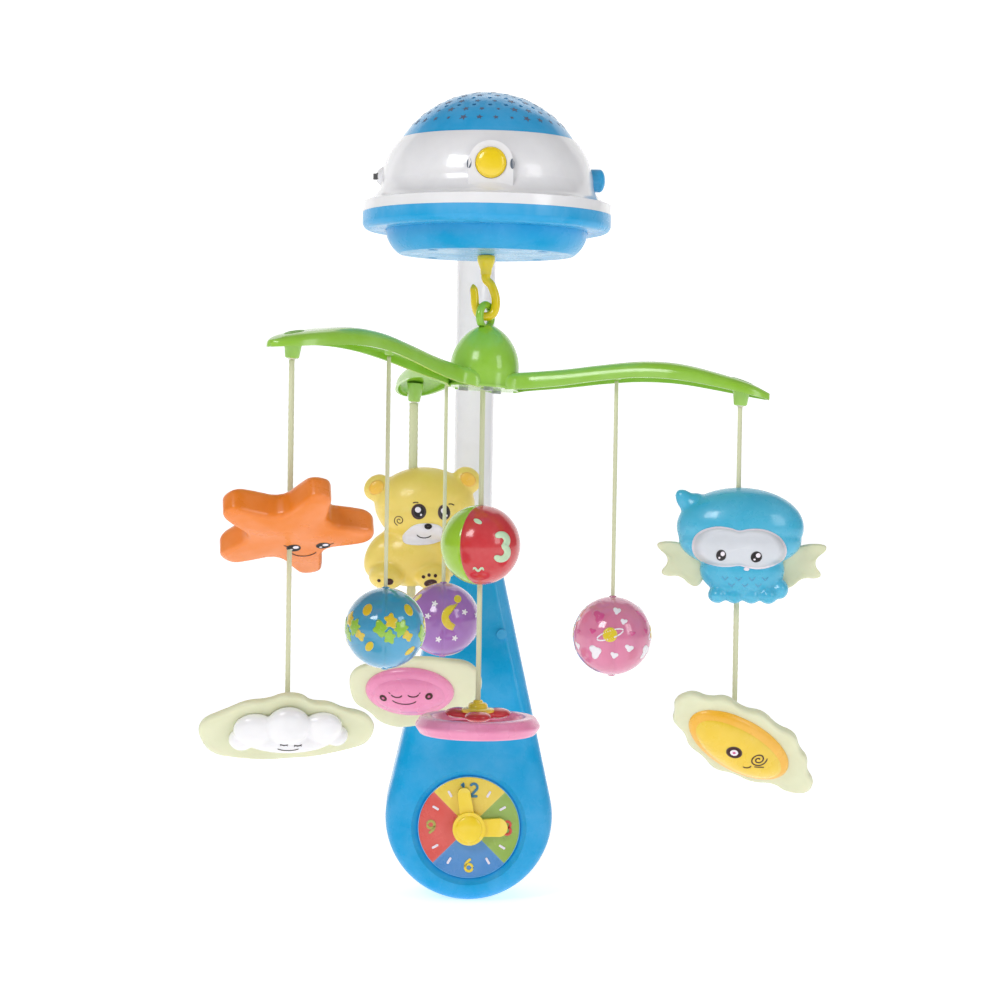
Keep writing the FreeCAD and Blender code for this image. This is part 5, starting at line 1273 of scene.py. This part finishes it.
def dial_sector(axis, face_y, radius, start, steps=40):
    """A quarter of the dial's print: a thin ring sector with a bevelled rim."""
    verts = []
    for level in (face_y - DIAL_THICK, face_y + DIAL_SINK):
        for reach in (DIAL_HOLE, radius - 0.5, radius):
            lift = DIAL_BEVEL if reach == radius and level < face_y else 0
            for i in range(steps + 1):
                turn = math.radians(start + 90 * i / steps)
                verts.append((axis.x + reach * math.cos(turn), level + lift,
                              axis.z + reach * math.sin(turn)))
    row = steps + 1
    faces = []
    for corner in (0, row, 3 * row, 4 * row):
        for i in range(corner, corner + steps):
            faces.append((i, i + 1, i + 1 + row, i + row))
    edge = list(range(row)) + [row + steps, 2 * row + steps]
    edge += [2 * row + i for i in reversed(range(steps))] + [row]
    for a, b in zip(edge, edge[1:] + edge[:1]):
        faces.append((a, b, b + 3 * row, a + 3 * row))
    return verts, faces


def make_dial():
    """The printed dial: four coloured sectors, hour marks and digits, all slightly raised."""
    axis = joint_point("dial_turn")
    low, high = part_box("dial_plate")
    radius = (high.x - low.x) / 2 / MM - 0.5
    face_y = low.y / MM
    for name, start, material in (("yellow", 45, DIAL_YELLOW), ("red", 135, DIAL_RED),
                                  ("blue", 225, DIAL_BLUE), ("green", 315, DIAL_GREEN)):
        piece = add_piece("dial_sector_" + name, *dial_sector(axis, face_y, radius, start), material,
                          "stand", flat=True)
    disc_verts, disc_faces = lathe([(0.1, 0.0), (radius, 0.0), (radius, 0.5), (0.1, 0.5)], 96)
    place = Vector((axis.x, face_y - DIAL_THICK, axis.z)) * MM
    marks = Surface([(x, z, y) for x, y, z in disc_verts], disc_faces,
                    Matrix.Translation(place) @ Matrix.Scale(MM, 4), "stand", "dial")
    for hour in range(12):
        turn = math.radians(90 - 30 * hour)
        if hour % 3:
            ends = [(reach * math.cos(turn), reach * math.sin(turn)) for reach in (28.5, 34.5)]
            marks.stroke("tick_%d" % hour, dense(ends), 1.9, EYE_LIGHT, lift=0.3, taper=0.3)
    for name, digit, centre, ink in (("ten", "1", (-5.4, 30.6), DIAL_INK),
                                     ("two", "2", (3.6, 30.6), DIAL_INK),
                                     ("three", "3", (31.2, 0), DIAL_RED),
                                     ("six", "6", (0.4, -30.8), DIAL_YELLOW),
                                     ("nine", "9", (-31, 0), DIAL_OLIVE)):
        write_digit(marks, name, digit, centre, DIGIT_HEIGHT, DIGIT_WIDTH, ink, lift=0.3)


# ---------------------------------------------------------------- clamp stud and painted shade of the dome's star holes

def make_stud():
    """The clamp stud with its rolled thread."""
    low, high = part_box("clamp_stud")
    pitch, crest = 3.0, 0.55
    radius = 5.95
    head = (high.x - low.x) / 2 / MM
    rings = []
    start = low.y / MM
    end = high.y / MM
    rows = int((end - start) / 0.33)
    for row in range(rows + 1):
        y = start + (end - start) * row / rows
        ring = []
        for k in range(48):
            turn = 2 * math.pi * k / 48
            phase = (y / pitch - k / 48) % 1.0
            groove = crest * (abs(phase - 0.5) * 2)
            reach = radius - groove
            if y < start + 4:
                reach = head
            elif y < 3:
                reach = radius
            elif y > end - 2:
                reach = min(reach, radius - 1.5 * (y - end + 2) / 2)
            ring.append((reach * math.cos(turn), y, reach * math.sin(turn)))
        rings.append(ring)
    piece = add_piece("clamp_stud_threaded", *loft(rings), WHITE, "stand", slot="white_plastic")
    sharpen(piece, 60)
    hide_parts("clamp_stud")


DOME_RADIUS = 71.4


def make_dome_hole_shade_stars():
    """Small star-shaped dark patches round the dome: painted shade for its pierced star holes."""
    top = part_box("projector_dome")[1].z / MM
    axis = joint_point("hook_spin")
    base = top - DOME_RADIUS
    verts = []
    faces = []
    for ring, (lean, count) in enumerate([(13.5, 9), (22.5, 14), (31.5, 20), (40.5, 26), (48, 30)]):
        for step in range(count):
            around = 2 * math.pi * (step + 0.5 * (ring % 2)) / count + 0.2 * ring
            out = Vector((math.sin(math.radians(lean)) * math.cos(around),
                          math.sin(math.radians(lean)) * math.sin(around), math.cos(math.radians(lean))))
            size = 1.3 + 1.1 * ((step * 7 + ring * 3) % 4) / 3
            centre = Vector((axis.x, axis.y, base)) + out * DOME_RADIUS
            side = out.cross(Vector((0, 0, 1))).normalized()
            up = side.cross(out)
            first = len(verts)
            for lift in (0.12, -0.5):
                for k in range(10):
                    turn = math.pi * k / 5 + step
                    reach = size * (1.25 if k % 2 == 0 else 0.55)
                    spread = side * math.cos(turn) + up * math.sin(turn)
                    verts.append(centre + out * lift + spread * reach)
            faces.append(tuple(first + k for k in range(10)))
            faces.append(tuple(first + 10 + k for k in reversed(range(10))))
            for k in range(10):
                j = (k + 1) % 10
                faces.append((first + k, first + 10 + k, first + 10 + j, first + j))
    # painted shade: the flat dark stars stand for the shadow inside the holes
    piece = add_piece("dome_hole_shade_stars", verts, faces, DOME_HOLE_SHADE, "stand", flat=True)


def make_notch_shadows():
    """Painted shadow for the finger notches on both sides of the play button: dark patches let into its
    arch panel.
    """
    low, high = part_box("play_button")
    middle = (low + high) / 2 / MM
    reach = (high.x - low.x) / 2 / MM
    body = frame["nodes"]["projector_body"].data
    tree = BVHTree.FromPolygons([v.co / MM for v in body.vertices],
                                [tuple(p.vertices) for p in body.polygons])
    for name, side in (("left", -1), ("right", 1)):
        # painted shadow: each notch's shade is a dark oval sheet laid on the body
        outline = [(side * (reach + 2.2 + 1.5 * math.cos(a)), -0.5 + 3.4 * math.sin(a))
                   for a in turns(28)]
        verts = []
        for lift in (0.25, -0.6):
            for x, z in outline:
                start = Vector((middle.x + x, low.y / MM - 20, middle.z + z))
                hit = tree.ray_cast(start, Vector((0, 1, 0)))[0] or start
                verts.append((hit.x, hit.y - lift, hit.z))
        count = len(outline)
        faces = [tuple(range(count)), tuple(reversed(range(count, 2 * count)))]
        faces += [(k, count + k, count + (k + 1) % count, (k + 1) % count) for k in range(count)]
        add_piece("button_notch_shadow_" + name, verts, faces, NOTCH_PAINTED_SHADOW, "stand", flat=True)


# ---------------------------------------------------------------- stage, light and camera

FLOOR_DROP = 0.4
BACKDROP_GLOW = 0.6
WORLD_LIGHT = 0.3
WORLD_SEEN = 1.0
CAMERA_DISTANCE = 1610
CAMERA_SIDE = 12.25
CAMERA_HEIGHT = 316.4
VIEW_AZIMUTH = 2.0
VIEW_PITCH = 1.74
VIEW_ROLL = 0.9


def make_stage():
    """A pale floor that sweeps up into a backdrop."""
    floor = CAD_LOW.z - FLOOR_DROP * MM
    bend, back, near, wide, top = 1.2, 3.2, -3.6, 6.0, 5.0
    profile = [(near, floor)]
    profile += [(back + bend * math.sin(t), floor + bend * (1 - math.cos(t)))
                for t in (math.pi / 2 * i / 24 for i in range(25))]
    profile.append((back + bend, top))
    verts = [(side, y, z) for y, z in profile for side in (-wide, wide)]
    faces = [(2 * i, 2 * i + 1, 2 * i + 3, 2 * i + 2) for i in range(len(profile) - 1)]
    mesh = bpy.data.meshes.new("backdrop")
    mesh.from_pydata(verts, [], faces)
    for polygon in mesh.polygons:
        polygon.use_smooth = True
    backdrop = bpy.data.objects.new("backdrop", mesh)
    bpy.context.scene.collection.objects.link(backdrop)
    n = Nodes("backdrop_paper")
    shade = n.ramp(n.noise(3, 3), (0.9, 0.9, 0.9, 1), (0.93, 0.93, 0.93, 1))
    n.link(shade, n.shader.inputs["Base Color"])
    n.shader.inputs["Roughness"].default_value = 0.9
    n.shader.inputs["Specular IOR Level"].default_value = 0.1
    n.shader.inputs["Emission Color"].default_value = (1, 1, 1, 1)
    n.shader.inputs["Emission Strength"].default_value = BACKDROP_GLOW
    mesh.materials.append(n.material)


def soft_box(name, place, target, width, height, power):
    """A rectangular studio lamp aimed at a target."""
    light = bpy.data.lights.new(name, "AREA")
    light.shape = "RECTANGLE"
    light.size = width
    light.size_y = height
    light.energy = power
    lamp = bpy.data.objects.new(name, light)
    lamp.location = place
    lamp.rotation_euler = (Vector(target) - Vector(place)).to_track_quat("-Z", "Y").to_euler()
    bpy.context.scene.collection.objects.link(lamp)


def make_light():
    """World light that looks white from the camera, and three soft boxes."""
    world = bpy.data.worlds.new("studio")
    bpy.context.scene.world = world
    world.use_nodes = True
    world.node_tree.nodes["Background"].inputs["Color"].default_value = (1, 1, 1, 1)
    tree = world.node_tree
    seen = tree.nodes.new("ShaderNodeLightPath").outputs["Is Camera Ray"]
    strength = tree.nodes.new("ShaderNodeMapRange")
    strength.inputs["To Min"].default_value = WORLD_LIGHT
    strength.inputs["To Max"].default_value = WORLD_SEEN
    tree.links.new(seen, strength.inputs["Value"])
    tree.links.new(strength.outputs["Result"], tree.nodes["Background"].inputs["Strength"])
    middle = (0, -0.3, 0.25)
    soft_box("key_light", (-1.2, -1.9, 1.6), middle, 0.8, 0.8, 18)
    soft_box("fill_light", (1.5, -1.6, 0.9), middle, 0.6, 1.0, 6)
    soft_box("back_light", (0.4, 1.4, 2.4), middle, 1.4, 0.8, 3)


def make_camera():
    """The camera, level with the hub and turned a little to the left."""
    data = bpy.data.cameras.new("camera")
    data.lens = 82.8
    data.sensor_width = 36
    camera = bpy.data.objects.new("camera", data)
    turn = math.radians(VIEW_AZIMUTH)
    forward = Vector((math.sin(turn), math.cos(turn), 0))
    right = Vector((math.cos(turn), -math.sin(turn), 0))
    hub = Vector((HUB.x, HUB.y, 0))
    place = hub + (CAMERA_SIDE * right - CAMERA_DISTANCE * forward) * MM
    place.z = CAMERA_HEIGHT * MM
    camera.location = place
    look = Matrix.Rotation(math.radians(-VIEW_AZIMUTH), 4, "Z")
    pitch = Matrix.Rotation(math.radians(90 - VIEW_PITCH), 4, "X")
    roll = Matrix.Rotation(math.radians(VIEW_ROLL), 4, "Z")
    camera.matrix_world = Matrix.Translation(place) @ look @ pitch @ roll
    bpy.context.scene.collection.objects.link(camera)
    bpy.context.scene.camera = camera
    bpy.context.scene.view_settings.view_transform = "Standard"


# ---------------------------------------------------------------- finishes of the CAD pieces

FINISHES = {
    BLUE: ("base_front_shell", "base_rear_shell", "battery_door", "projector_ring",
           "projector_tray", "side_button", "dial_plate"),
    WHITE: ("upright_tube", "boom_arm", "projector_body"),
    DOME_BLUE: ("projector_dome",),
    YELLOW: ("play_button", "dial_knob", "hook"),
    GREEN: ("hub_dome", "hub_cap", "arm_right", "arm_back", "arm_left"),
    BLACK: ("rotary_switch", "side_switch", "speaker", "clamp_nut", "clamp_plate"),
    RUBBER: ("rail_pad", "clamp_pad"),
    STEEL: ("base_screws", "hub_screws", "projector_screws", "clamp_stud", "motor"),
    ACETAL: ("motor_pinion", "output_gear"),
    BOARD: ("base_board", "led_board"),
    CELL: ("battery_cells",),
    CORD: ("blue_ball_cord", "purple_ball_cord", "pink_ball_cord", "star_cord", "bear_cord",
           "owl_cord", "centre_cord"),
    ORANGE: ("star",),
    CREAM: ("cloud_backing", "flower_backing", "sun_backing", "owl_wings"),
    MUZZLE: ("cloud_face",),
    BEAR: ("bear",),
    PINK: ("flower_face", "ring"),
    OWL: ("owl_body",),
    SUN: ("sun_face",),
    RED: ("number_ball_right", "ring_spinner"),
    LIME: ("number_ball_left",),
    BALL_BLUE: ("blue_ball",),
    BALL_PURPLE: ("purple_ball",),
    BALL_PINK: ("pink_ball",),
}


def finish_cad_pieces():
    """Gives every CAD piece that stays visible its finish."""
    for material, names in FINISHES.items():
        for name in names:
            slots = frame["nodes"][name].data.materials
            for index in range(len(slots)):
                slots[index] = material
            if not len(slots):
                slots.append(material)


make_stage()
make_light()
make_camera()
finish_cad_pieces()
make_hook()
make_arms()
make_cords()
make_star()
make_cloud()
make_bear()
make_flower()
make_owl()
make_sun()
make_balls()
make_number_ball()
make_ring()
make_spinner()
make_dial()
make_stud()
make_dome_hole_shade_stars()
make_notch_shadows()
